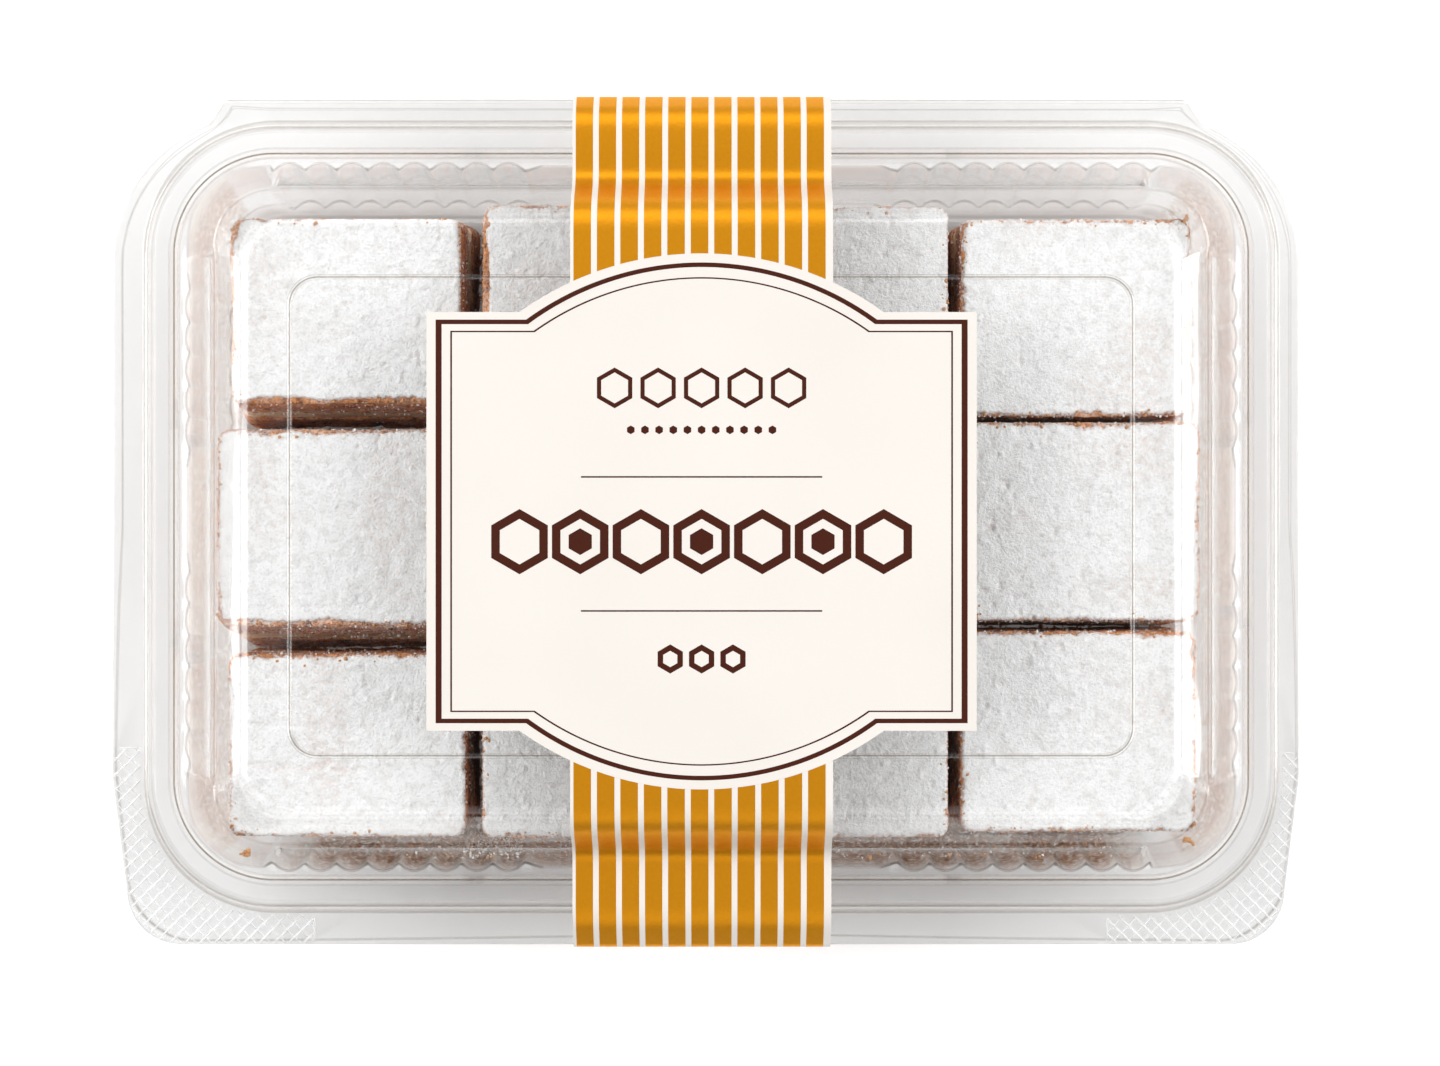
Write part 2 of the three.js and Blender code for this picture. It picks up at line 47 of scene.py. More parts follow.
# The clamshell's driving dimensions, as in the solids, but with a sheet as thin as the real one
SHEET = 0.5
THIN_SHEET = 0.32
FORM_CENTRE = np.array([1.1, 1.0])
FLANGE_HALF = np.array([120.15, 85.6])
TRAY_FLANGE_TOP = 36.7
LID_FLANGE_TOP = 37.5
RIM_HEIGHT = 4.4
GROOVE = LID_FLANGE_TOP + 2.7
PLATEAU = LID_FLANGE_TOP + 14
RIM_TOP = LID_FLANGE_TOP + RIM_HEIGHT
TRAY_BEAD_TOP = TRAY_FLANGE_TOP + RIM_HEIGHT
HINGE_HALF = 97.5
HINGE_NOTCH = ((2.9, 4.4), (1.2, 2.0), (0.0, 0.0))
HINGE_GAP = 0.8
BACK_ARC = 30
BACK_ARC_END = math.radians(62)
HINGE_STEP = 3.4
FRONT_ARC = 11
FRONT_ARC_X = 106.3
TAPER_START = -52
EDGE_LINE = 2.0

# A ring of the clamshell is its half-lengths along X and Y, its corner radius, its height
# and the share of the flutes' depth that it has. A fold is the length over which a ring's
# bend is rounded and how dark the painted shade line along it is.
TRAY_RINGS = (
    (60, 30, 6, SHEET, 0),
    (101, 65.4, 11, SHEET, 0),
    (103.3, 67.7, 12, 2.5, 1),
    (105.8, 70.5, 15.2, 23, 1),
    (107, 71.8, 17, TRAY_FLANGE_TOP - 1.7, 1),
    (107.7, 72.4, 20, TRAY_FLANGE_TOP - 0.5, 0),
    (109, 74, 21, TRAY_BEAD_TOP, 0),
    (112.3, 77.4, 24.4, TRAY_BEAD_TOP, 0),
    (113.6, 78.9, 25.8, TRAY_FLANGE_TOP, 0),
)
TRAY_FOLDS = (
    (0, 0), (0.5, 0), (0.4, 0.6), (0.35, 0.3), (0.3, 0.5), (0.3, 0), (0.4, 0.2), (0.4, 0.1), (0, 0.2),
)
LID_RINGS = (
    (60, 30, 4, PLATEAU, 0),
    (83.1, 47.0, 5.2, PLATEAU, 0),
    (83.5, 47.4, 5.6, PLATEAU - 0.3, 0),
    (83.9, 47.8, 6.0, PLATEAU, 0),
    (93, 59.3, 9, PLATEAU, 0),
    (100, 66, 11.4, GROOVE, 0),
    (107.4, 72.3, 19.5, GROOVE, 0),
    (107.9, 72.9, 20, RIM_TOP, 0),
    (113.4, 78.45, 25.5, RIM_TOP, 0),
    (114.9, 80.2, 27, LID_FLANGE_TOP, 0),
)
LID_FOLDS = ((0, 0), (0.12, 0.3), (0.2, 0.5), (0.12, 0.3), (1.6, 0), (0.5, 0.1), (0.3, 0.2), (0.3, 1), (0.4, 0.5),
             (0, 0.3))
# Where crumb and cream have smeared the tray's front wall, a brown that also paints the shade
# and reflection there, how strong that brown is on the side walls as a painted reflection of
# the squares, where sugar specks are thickest on the front wall, and stray crumbs stuck beside
# the squares
SMEAR_AND_SHADE_X = (-90, 94)
SMEAR_AND_SHADE_FADE = (14, 16)
SMEAR_AND_PAINTED_LIGHT_Z = (-6, 35)
SIDE_WALL_PAINTED_REFLECTION = 0.2
CRUMBED_X = (-62, 84)
SPECKLED_X = (-50, -38)
STRAY_CRUMBS = ((-93.0, -67.0, 39.2), (98.2, 62.3, 30.2), (97.5, -64.6, 39.2))

# How bends are made: steps round each one, and guard rings beside it
FILLET_STEPS = 4
GUARD = 1.15
GROOVE_RINGS = 9
BEAD_SHARE = 0.34

# Flutes in the tray's walls, by each group's middle and count
FLUTE_DEPTH = 1.8
SHORT_WALL_SHARE = 0.45
PLAIN_WALL = 0.4
PLAIN_FADE = 4
# How strong the painted shade lines along the tray wall's folds are on plain walls, and in front
PLAIN_LINE = 0.35
FRONT_LINE = 1.6
FLUTE_PITCH = 6.36
FLUTE_FADE = math.radians(38)
LONG_WALL_FLUTES = ((-63.5, 8), (63.5, 8))
SHORT_WALL_FLUTES = ((-30.5, 6), (30.0, 5))

# Raised beads on the lid beside the bevel, by half-length, and their distance from its middle
BEAD_HEIGHT = 1.0
BEAD_HALF_WIDTH = 1.15
SHORT_SIDE_BEAD = (101.1, 52.6)
LONG_SIDE_BEAD = (67.0, 86.8)

# Points round a ring: along a long side, a short side and a corner
TRAY_POINTS = (260, 180, 20)
LID_POINTS = (170, 120, 28)
SIDE_SHARE = 0.7

# The pull tabs' knurling: fine ribs both ways across the front corners of the lid's flange
RIB_PITCH = 2.125
RIB_WIDTH = 0.52
RIB_HEIGHT = 0.22
CROSS_RIB_WIDTH = 0.32
KNURL_BACK = (-45.8, -46.8)
KNURL_INNER = (-79.3, 81.2)

# The label: a striped band that widens to an arched plaque
LABEL_CENTRE_X = -0.75
LABEL_BAND_HALF = 26
LABEL_OFFSET = 0.3
LABEL_THICKNESS = 0.25
LABEL_RETURN = 5
STRIPE_PITCH = 4.64
STRIPE_WIDTH = 3.48
STRIPE_START = -25.35
PLAQUE_HALF = (54.4, 41.4)
PLAQUE_APEX = 53
PLAQUE_ARCH_HALF = 36

# The squares: three rows from the hinge, four columns from the left
SPONGE_LOW = 0.8
CREAM_LOW = 11.9
CREAM_HIGH = 17.65
SPONGE_HIGH = 28.75
SUGAR_THICKNESS = 1.0
SUGAR_GRID = 0.38
BOTTOM_ROWS = ((63.2, 20.1), (19.6, -22.0), (-22.5, -63.2))
BOTTOM_COLUMNS = ((-98.4, -48.5), (-48.0, 1.3), (1.8, 50.8), (51.3, 100.2))
SQUARE_CORNER = 2.4

# Feet that lie further forward than their cut, as (edge's number, place)
MOVED_FEET = {(2, 1): (3, -26.7), (3, 1): (2, -26.9)}

# Each square's top by its left, right, back and front edge
TOPS = (
    ((-97.4, -50.4, 62.1, 24.6), (-45.7, 1.0, 65.1, 22.6), (2.6, 49.6, 64.6, 22.4), (52.5, 99.2, 61.9, 21.9)),
    ((-100.4, -49.4, 18.8, -21.1), (-46.2, 0.8, 20.3, -21.4), (2.5, 49.5, 20.6, -21.2), (54.2, 101.3, 20.4, -20.1)),
    ((-97.9, -49.4, -27.3, -64.6), (-45.8, 1.1, -23.6, -64.8), (2.8, 49.6, -23.4, -64.7), (52.5, 100.6, -22.6, -63.6)),
)

# How far the sugar stops short of each square's left, right, back and front edge, and spots
# of (x, y, radius) where it has come off
BARE_EDGE = 0.1
BARE_EDGES = {
    (1, 1): (0.6, 0.2, 0.0, 0.7),
    (1, 2): (1.1, 0.1, 0.5, 0.1),
    (1, 4): (0.6, 0.3, 0.3, 0.4),
    (2, 1): (0.5, 0.0, 0.6, 0.8),
    (2, 4): (0.4, 0.3, 0.5, 0.2),
    (3, 1): (0.4, 0.0, 0.4, 0.2),
    (3, 2): (0.3, 0.0, 0.1, 0.3),
    (3, 4): (0.4, 0.6, 0.5, 0.3),
}
ROW_DUST = (0.2, 0.55, 0.2)
BARE_SPOTS = ((-96.4, 61.2, 2.6), (-91.0, 62.4, 1.2), (-36.5, 47.5, 1.0), (-40.0, 52.0, 0.8), (97.2, 61.0, 1.5))
THIN_SPOT = (-36, 48, 7)

# The photograph's camera, straight above, and its picture
CAMERA_AT = (2.886, -2.29, 657.5)
FOCAL_PIXELS = 3062
PICTURE_WIDTH = 1440
SENSOR = 36


# Repeatable noise

def lattice_value(cell, seed):
    """A repeatable number from -1 to 1 for each whole-number cell"""
    key = cell[:, 0] * 73856093 ^ cell[:, 1] * 19349663 ^ cell[:, 2] * 83492791 ^ seed * 49979687
    key = (key ^ (key >> 13)) * 1274126177
    key ^= key >> 16
    return (key & 0xFFFFFF) / 0x7FFFFF - 1


def noise(points, size, seed):
    """Smooth noise from -1 to 1, with lumps of about that size"""
    scaled = points / size
    base = np.floor(scaled).astype(np.int64)
    part = scaled - base
    part = part * part * (3 - 2 * part)
    total = np.zeros(len(points))
    for corner in itertools.product((0, 1), repeat=3):
        weight = np.prod(np.where(corner, part, 1 - part), axis=1)
        total += weight * lattice_value(base + np.array(corner), seed)
    return total


def rough(points, size, seed, octaves=3):
    """Noise at several sizes, each half as large and half as strong as the one before"""
    total = np.zeros(len(points))
    for octave in range(octaves):
        total += noise(points, size / 2 ** octave, seed + octave) / 2 ** octave
    return total / 1.5


def ease(value):
    """A smooth step from 0 to 1 as value goes from 0 to 1"""
    value = np.clip(value, 0, 1)
    return value * value * (3 - 2 * value)


# Meshes

def mesh_object(name, points, faces, materials, smooth=True, fields=None):
    """A piece from its points in millimetres, its faces and its materials.
    fields are numbers for each point that its material reads by name."""
    mesh = bpy.data.meshes.new(name)
    mesh.from_pydata((np.asarray(points) * MM).tolist(), [], faces)
    mesh.polygons.foreach_set("use_smooth", [smooth] * len(mesh.polygons))
    for field, values in (fields or {}).items():
        attribute = mesh.attributes.new(field, "FLOAT", "POINT")
        attribute.data.foreach_set("value", np.asarray(values, np.float32))
    for material in materials:
        mesh.materials.append(material)
    mesh.update()
    piece = bpy.data.objects.new(name, mesh)
    bpy.context.scene.collection.objects.link(piece)
    return piece


def grid_faces(rows, columns, closed):
    """Quads between rows of points. closed joins each row's last point to its first."""
    row, column = np.meshgrid(np.arange(rows - 1), np.arange(columns if closed else columns - 1), indexing="ij")
    beside = (column + 1) % columns
    quads = np.stack([row, row, row + 1, row + 1], -1) * columns
    quads += np.stack([column, beside, beside, column], -1)
    return quads.reshape(-1, 4)


def fan_faces(ring, middle, turned):
    """Triangles from a ring of point numbers to its middle point"""
    pairs = zip(ring, np.roll(ring, -1))
    return [(int(b), int(a), middle) if turned else (int(a), int(b), middle) for a, b in pairs]


def joined(parts):
    """Several lists of points and faces as one"""
    points, faces, start = [], [], 0
    for part_points, part_faces in parts:
        points.append(part_points)
        faces += [tuple(int(corner) + start for corner in face) for face in part_faces]
        start += len(part_points)
    return np.concatenate(points), faces


def hand_over(piece, slot, *nodes):
    """The piece rides on the part's one body and stands for these solids; slot is not used."""
    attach(piece, "root")
    if nodes:
        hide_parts(*nodes)


# Materials

HEAD_ON_REFLECTION = 0.04
FROST = 0.02
GILDING = 0.8
FLOOR_GLOW = 0.12


class Field:
    """A number that a material works out at each point, built with ordinary operators"""

    def __init__(self, nodes, socket):
        self.nodes = nodes
        self.socket = socket

    def made(self, operation, *others):
        node = self.nodes.new("ShaderNodeMath")
        node.operation = operation
        for place, value in enumerate((self, *others)):
            link_or_set(self.nodes, value, node.inputs[place])
        return Field(self.nodes, node.outputs[0])

    def __add__(self, other):
        return self.made("ADD", other)

    def __sub__(self, other):
        return self.made("SUBTRACT", other)

    def __mul__(self, other):
        return self.made("MULTIPLY", other)

    def __abs__(self):
        return self.made("ABSOLUTE")

    def high(self, other):
        return self.made("MAXIMUM", other)

    def low(self, other):
        return self.made("MINIMUM", other)

    def under(self, other):
        return self.made("LESS_THAN", other)

    def over(self, other):
        return self.made("GREATER_THAN", other)

    def root(self):
        return self.made("SQRT")

    def power(self, exponent):
        return self.made("POWER", exponent)

    def part_of(self, pitch):
        return self.made("FLOORED_MODULO", pitch)

    def stretched(self, low, high):
        """0 up to low, 1 from high, and straight between them"""
        node = self.nodes.new("ShaderNodeMapRange")
        self.nodes.id_data.links.new(self.socket, node.inputs["Value"])
        node.inputs["From Min"].default_value = low
        node.inputs["From Max"].default_value = high
        return Field(self.nodes, node.outputs["Result"])


def link_or_set(nodes, value, socket):
    if isinstance(value, Field):
        nodes.id_data.links.new(value.socket, socket)
    else:
        socket.default_value = value


def linear(red, green, blue):
    """A colour from its 0 to 255 values as a screen shows them"""
    shown = [channel / 255 for channel in (red, green, blue)]
    return tuple(c / 12.92 if c <= 0.04045 else ((c + 0.055) / 1.055) ** 2.4 for c in shown) + (1,)


def new_material(name):
    material = bpy.data.materials.new(name)
    material.use_nodes = True
    nodes = material.node_tree.nodes
    nodes.clear()
    return material, nodes, nodes.new("ShaderNodeOutputMaterial")


def object_place(nodes):
    """The point's X, Y and Z in millimetres"""
    where = nodes.new("ShaderNodeTexCoord")
    scaled = nodes.new("ShaderNodeVectorMath")
    scaled.operation = "SCALE"
    scaled.inputs["Scale"].default_value = 1 / MM
    nodes.id_data.links.new(where.outputs["Object"], scaled.inputs[0])
    return scaled.outputs["Vector"]


def levelled(nodes, place):
    """The place drawn out along the level, for streaks that a level knife leaves"""
    node = nodes.new("ShaderNodeVectorMath")
    node.operation = "MULTIPLY"
    nodes.id_data.links.new(place, node.inputs[0])
    node.inputs[1].default_value = (0.16, 0.16, 1)
    return node.outputs["Vector"]


def split(nodes, vector):
    node = nodes.new("ShaderNodeSeparateXYZ")
    nodes.id_data.links.new(vector, node.inputs["Vector"])
    return [Field(nodes, node.outputs[axis]) for axis in "XYZ"]


def texture_noise(nodes, place, size, detail=3, roughness=0.6):
    """Noise from about 0.2 to 0.8 in lumps of about that size in millimetres"""
    node = nodes.new("ShaderNodeTexNoise")
    nodes.id_data.links.new(place, node.inputs["Vector"])
    node.inputs["Scale"].default_value = 1 / size
    node.inputs["Detail"].default_value = detail
    node.inputs["Roughness"].default_value = roughness
    return Field(nodes, node.outputs["Fac"])


def point_field(nodes, name):
    node = nodes.new("ShaderNodeAttribute")
    node.attribute_name = name
    return Field(nodes, node.outputs["Fac"])


def mixed(nodes, share, first, second):
    """The first colour where share is 0 and the second where it is 1"""
    node = nodes.new("ShaderNodeMix")
    node.data_type = "RGBA"
    link_or_set(nodes, share, node.inputs["Factor"])
    for place, colour in (("A", first), ("B", second)):
        socket = next(s for s in node.inputs if s.identifier == f"{place}_Color")
        if isinstance(colour, bpy.types.NodeSocket):
            nodes.id_data.links.new(colour, socket)
        else:
            socket.default_value = colour
    return next(s for s in node.outputs if s.identifier == "Result_Color")


def bumped(nodes, shader, height, distance, strength=1.0):
    """Gives a shader fine relief from a height field, distance in millimetres"""
    node = nodes.new("ShaderNodeBump")
    node.inputs["Distance"].default_value = distance * MM
    node.inputs["Strength"].default_value = strength
    nodes.id_data.links.new(height.socket, node.inputs["Height"])
    nodes.id_data.links.new(node.outputs["Normal"], shader.inputs["Normal"])


def principled(nodes, output, roughness, specular=0.5):
    shader = nodes.new("ShaderNodeBsdfPrincipled")
    shader.inputs["Roughness"].default_value = roughness
    shader.inputs["Specular IOR Level"].default_value = specular
    nodes.id_data.links.new(shader.outputs["BSDF"], output.inputs["Surface"])
    return shader


def clear_plastic(name, clear, fold_shade_colour, gloss_roughness, edge_shade, grazing):
    """Clear sheet: it lets light through, with painted shade along its folds, darker where it is
    seen edge-on, and reflects as such a sheet does, up to grazing. A point field marks the folds
    for that painted shade, and another the brown on the tray's walls."""
    material, nodes, output = new_material(name)
    links = material.node_tree.links
    facing = nodes.new("ShaderNodeLayerWeight")
    facing.inputs["Blend"].default_value = 0.5
    edge_on = Field(nodes, facing.outputs["Facing"])
    # Painted shade: the sheet is darkened along its folds
    dark = (point_field(nodes, "fold_shade") + edge_on.power(4) * edge_shade).low(1.0)
    specks = texture_noise(nodes, object_place(nodes), 1.1, detail=3).stretched(0.42, 0.54)
    # Brown on the tray's walls: crumb smear with painted shade in front, a painted reflection at the sides
    smeared_and_painted = mixed(nodes, point_field(nodes, "smear") * specks, clear, linear(178, 126, 68))
    frosted = mixed(nodes, point_field(nodes, "frost") * FROST, smeared_and_painted, (0, 0, 0, 1))
    through = nodes.new("ShaderNodeBsdfTransparent")
    links.new(mixed(nodes, dark, frosted, fold_shade_colour), through.inputs["Color"])
    gloss = nodes.new("ShaderNodeBsdfAnisotropic")
    gloss.inputs["Color"].default_value = (1, 1, 1, 1)
    gloss.inputs["Roughness"].default_value = gloss_roughness
    wavy = texture_noise(nodes, object_place(nodes), 14, detail=0)
    bumped(nodes, gloss, wavy, 0.1)
    mix = nodes.new("ShaderNodeMixShader")
    reflected = edge_on.power(5) * (grazing - HEAD_ON_REFLECTION) + HEAD_ON_REFLECTION
    links.new(reflected.socket, mix.inputs["Fac"])
    links.new(through.outputs["BSDF"], mix.inputs[1])
    links.new(gloss.outputs["BSDF"], mix.inputs[2])
    links.new(mix.outputs["Shader"], output.inputs["Surface"])
    return material


def rib_plastic():
    """The knurled ribs: the same sheet with a white matt share, a painted highlight that makes them show as white
    lines
    """
    material, nodes, output = new_material("knurled_plastic")
    links = material.node_tree.links
    through = nodes.new("ShaderNodeBsdfTransparent")
    through.inputs["Color"].default_value = (0.97, 0.97, 0.97, 1)
    # Painted highlight: matt white in place of the ribs' glints, unevenly bright
    frost = nodes.new("ShaderNodeBsdfPrincipled")
    frost.inputs["Roughness"].default_value = 0.25
    patchy = texture_noise(nodes, object_place(nodes), 1.2)
    links.new(mixed(nodes, patchy.stretched(0.3, 0.7), linear(250, 250, 250), linear(236, 236, 236)),
              frost.inputs["Base Color"])
    mix = nodes.new("ShaderNodeMixShader")
    mix.inputs["Fac"].default_value = 0.4
    links.new(through.outputs["BSDF"], mix.inputs[1])
    links.new(frost.outputs["BSDF"], mix.inputs[2])
    links.new(mix.outputs["Shader"], output.inputs["Surface"])
    return material


def sponge():
    """Baked honey sponge: open crumb that the knife dragged along each cut, pores darkened with
    painted shade, lighter crusts that are partly painted light, and a dust of sugar"""
    material, nodes, output = new_material("honey_sponge")
    place = object_place(nodes)
    shader = principled(nodes, output, 0.85, 0.2)
    broad = texture_noise(nodes, place, 7).stretched(0.3, 0.7)
    crumb = texture_noise(nodes, place, 0.8, detail=4, roughness=0.75)
    drag = texture_noise(nodes, levelled(nodes, place), 0.9, detail=3, roughness=0.7)
    colour = mixed(nodes, broad, linear(228, 150, 88), linear(208, 124, 66))
    # Lighter orange at the crusts: partly baked crust, partly painted light on the faces' lit tops
    colour = mixed(nodes, point_field(nodes, "crust_and_light") * 0.7, colour, linear(252, 172, 96))
    colour = mixed(nodes, drag.stretched(0.5, 0.6) * 0.7, colour, linear(150, 70, 34))
    colour = mixed(nodes, crumb.stretched(0.5, 0.6) * 0.7, colour, linear(112, 46, 22))
    # Painted shade in the pores
    colour = mixed(nodes, point_field(nodes, "pore_shade") * 0.7, colour, linear(92, 38, 20))
    powder = texture_noise(nodes, place, 0.5, detail=3, roughness=0.8).stretched(0.44, 0.54)
    dusty = (point_field(nodes, "dust") * powder).low(1.0)
    colour = mixed(nodes, dusty, colour, linear(255, 246, 242))
    nodes.id_data.links.new(colour, shader.inputs["Base Color"])
    bumped(nodes, shader, crumb, 0.7)
    return material


def cream():
    """Set cream between the sheets, smeared with crumb by the knife"""
    material, nodes, output = new_material("cream_filling")
    place = object_place(nodes)
    shader = principled(nodes, output, 0.5, 0.4)
    shader.inputs["Subsurface Weight"].default_value = 0.15
    shader.inputs["Subsurface Scale"].default_value = 0.6 * MM
    smear = texture_noise(nodes, levelled(nodes, place), 1.3, detail=4, roughness=0.7).stretched(0.46, 0.66)
    grain = texture_noise(nodes, place, 0.45).stretched(0.4, 0.6)
    colour = mixed(nodes, grain, linear(255, 240, 216), linear(236, 210, 180))
    colour = mixed(nodes, smear * 0.5, colour, linear(178, 118, 76))
    nodes.id_data.links.new(colour, shader.inputs["Base Color"])
    bumped(nodes, shader, smear, 0.15)
    return material


def icing_sugar():
    """A thick dusting: white, with painted shade in grey patches and grains, and the sponge showing where it is thin
    """
    material, nodes, output = new_material("icing_sugar")
    place = object_place(nodes)
    shader = principled(nodes, output, 0.9, 0.15)
    grain = texture_noise(nodes, place, 0.6, detail=3, roughness=0.7)
    mottle = texture_noise(nodes, place, 2.4, detail=4, roughness=0.75)
    # Painted shade: grey patches and grains over the white
    colour = mixed(nodes, mottle.stretched(0.45, 0.68), linear(254, 254, 254), linear(236, 235, 234))
    colour = mixed(nodes, grain.stretched(0.52, 0.7) * 0.6, colour, linear(220, 217, 215))
    damp = point_field(nodes, "thin") * texture_noise(nodes, place, 1.3, detail=4).stretched(0.4, 0.6)
    colour = mixed(nodes, damp.low(1.0) * 0.45, colour, linear(204, 172, 152))
    speck = texture_noise(nodes, place, 0.5, detail=2, roughness=0.8).stretched(0.5, 0.57)
    colour = mixed(nodes, point_field(nodes, "edge") * speck, colour, linear(170, 104, 60))
    nodes.id_data.links.new(colour, shader.inputs["Base Color"])
    bumped(nodes, shader, grain, 0.4)
    return material


def ring_of(outer, inner):
    """1 between two outlines, from each one's distance field"""
    return outer.under(0) * inner.over(0)


def plaque_outline(x, y, half_x, half_y, apex, arch_half):
    """A distance field, under 0 inside: a rectangle with a shallow arch above and below"""
    rise = apex - half_y
    radius = (arch_half ** 2 + rise ** 2) / (2 * rise)
    centre = radius - apex
    box = (abs(x) - half_x).high(abs(y) - half_y)
    tall = abs(y) + centre
    disc = (x * x + tall * tall).root() - radius
    return box.low(disc.high(abs(x) - arch_half))


def hexagons(x, y, middle, pitch, count, inner_radius):
    """A distance field to a row of hexagons that stand on their points"""
    half_row = pitch * count / 2
    across = abs((x + half_row).part_of(pitch) - pitch / 2)
    up = abs(y - middle)
    shape = across.high(across * 0.5 + up * 0.866) - inner_radius
    return shape.high(abs(x) - half_row)


def label_paper():
    """Cream paper printed with ochre stripes, a double frame and rows of honeycomb cells"""
    material, nodes, output = new_material("label_paper")
    place = object_place(nodes)
    x, y, _ = split(nodes, place)
    x = x - LABEL_CENTRE_X
    fibre = texture_noise(nodes, place, 0.8, detail=2).stretched(0.3, 0.7)
    cloudy = texture_noise(nodes, place, 30, detail=1).stretched(0.3, 0.7)
    paper = mixed(nodes, cloudy, linear(211, 206, 200), linear(208, 203, 197))
    ochre = mixed(nodes, fibre * 0.5, linear(214, 143, 22), linear(206, 135, 18))
    brown = mixed(nodes, fibre * 0.5, linear(62, 20, 4), linear(54, 17, 4))
    plaque = plaque_outline(x, y, *PLAQUE_HALF, PLAQUE_APEX, PLAQUE_ARCH_HALF)
    stripes = (x - STRIPE_START).part_of(STRIPE_PITCH).under(STRIPE_WIDTH)
    stripes = stripes * abs(x + 0.3).under(25.3) * plaque.over(0)
    colour = mixed(nodes, stripes, paper, ochre)
    prints = ring_of(plaque_outline(x, y, 52.6, 39.9, 51.2, 34.7), plaque_outline(x, y, 51.4, 39.0, 50.3, 34.3))
    prints = prints.high(ring_of(
        plaque_outline(x, y, 49.7, 37.7, 48.3, 33.2), plaque_outline(x, y, 49.35, 37.4, 48.0, 33.0)))
    rules = abs(abs(y + 4.45) - 13.25).under(0.16) * abs(x).under(23.85)
    prints = prints.high(rules)
    cells = hexagons(x, y, -4.0, 12.0, 7, 5.6)
    prints = prints.high(ring_of(cells, cells + 1.7))
    cores = hexagons(x, y, -4.0, 24.0, 3, 2.3)
    prints = prints.high(cores.under(0))
    small = hexagons(x, y, 26.4, 8.6, 5, 3.5)
    prints = prints.high(ring_of(small, small + 0.85))
    dots = hexagons(x, y, 18.1, 2.8, 11, 0.75)
    prints = prints.high(dots.under(0))
    feet = hexagons(x, y, -27.2, 6.2, 3, 2.5)
    prints = prints.high(ring_of(feet, feet + 1.1))
    colour = mixed(nodes, prints * plaque.under(0), colour, brown)
    shader = principled(nodes, output, 0.42, 0.2)
    nodes.id_data.links.new(colour, shader.inputs["Base Color"])
    nodes.id_data.links.new((stripes * GILDING).socket, shader.inputs["Metallic"])
    bumped(nodes, shader, fibre, 0.015)
    return material


def floor_material():
    """A pale matt table, a little uneven"""
    material, nodes, output = new_material("pale_table")
    shader = principled(nodes, output, 0.9, 0.1)
    shader.inputs["Emission Color"].default_value = (1, 1, 1, 1)
    shader.inputs["Emission Strength"].default_value = FLOOR_GLOW
    cloudy = texture_noise(nodes, object_place(nodes), 180, detail=2).stretched(0.3, 0.7)
    colour = mixed(nodes, cloudy, linear(252, 252, 252), linear(250, 250, 250))
    nodes.id_data.links.new(colour, shader.inputs["Base Color"])
    return material


# The clamshell

FACES = np.array([(1, 0), (0, 1), (-1, 0), (0, -1)])
RUNS = np.array([(0, 1), (-1, 0), (0, -1), (1, 0)])


def stations(long_side, short_side, corner):
    """Where a ring's points lie, from 0 to 4 round its four sides"""
    places = []
    for side in range(4):
        count = short_side if side % 2 == 0 else long_side
        places.append(side + SIDE_SHARE * np.arange(count) / count)
        places.append(side + SIDE_SHARE + (1 - SIDE_SHARE) * np.arange(corner) / corner)
    return np.concatenate(places)


def flute_inset(side, along):
    """How far in the wall lies, from the flutes' outermost line, at a place along a side"""
    groups = LONG_WALL_FLUTES if side % 2 else SHORT_WALL_FLUTES
    turn = -1 if side == 2 else 1
    inset = np.full(len(along), PLAIN_WALL)
    for middle, count in groups:
        from_middle = along - turn * middle
        beyond = np.abs(from_middle) - count * FLUTE_PITCH / 2
        phase = from_middle / FLUTE_PITCH + count / 2
        lobe = 1 - np.abs(np.sin(math.pi * phase)) ** 0.8
        inset += (1 - PLAIN_WALL) * (1 - ease(beyond / PLAIN_FADE)) * (beyond >= 0)
        inset = np.where(beyond < 0, lobe, inset)
    share = 1 if side % 2 else SHORT_WALL_SHARE
    return FLUTE_DEPTH * (PLAIN_WALL + (inset - PLAIN_WALL) * share)


def ring_points(ring, places):
    """A rounded rectangle's points, at a ring's size and height, with its flutes"""
    half_x, half_y, radius, z, fluted = ring
    side = np.floor(places).astype(int) % 4
    part = places % 1
    on_side = part < SIDE_SHARE
    reach = np.where(side % 2 == 0, half_x, half_y)
    straight = np.where(side % 2 == 0, half_y, half_x) - radius
    turned = np.where(on_side, 0, (part - SIDE_SHARE) / (1 - SIDE_SHARE)) * math.pi / 2
    run = np.where(on_side, (2 * part / SIDE_SHARE - 1) * straight, straight + radius * np.sin(turned))
    out = reach - radius + radius * np.cos(turned)
    if fluted > 0:
        for each in range(4):
            here = on_side & (side == each)
            out[here] -= fluted * flute_inset(each, run[here])
        fading = [1 - ease(angle / FLUTE_FADE) for angle in (turned, math.pi / 2 - turned)]
        depth = fluted * FLUTE_DEPTH * PLAIN_WALL
        out -= np.where(on_side, 0, depth * fading[0])
        run -= np.where(on_side, 0, depth * fading[1])
    flat = FORM_CENTRE + FACES[side] * out[:, None] + RUNS[side] * run[:, None]
    return np.column_stack([flat, np.full(len(flat), z)])


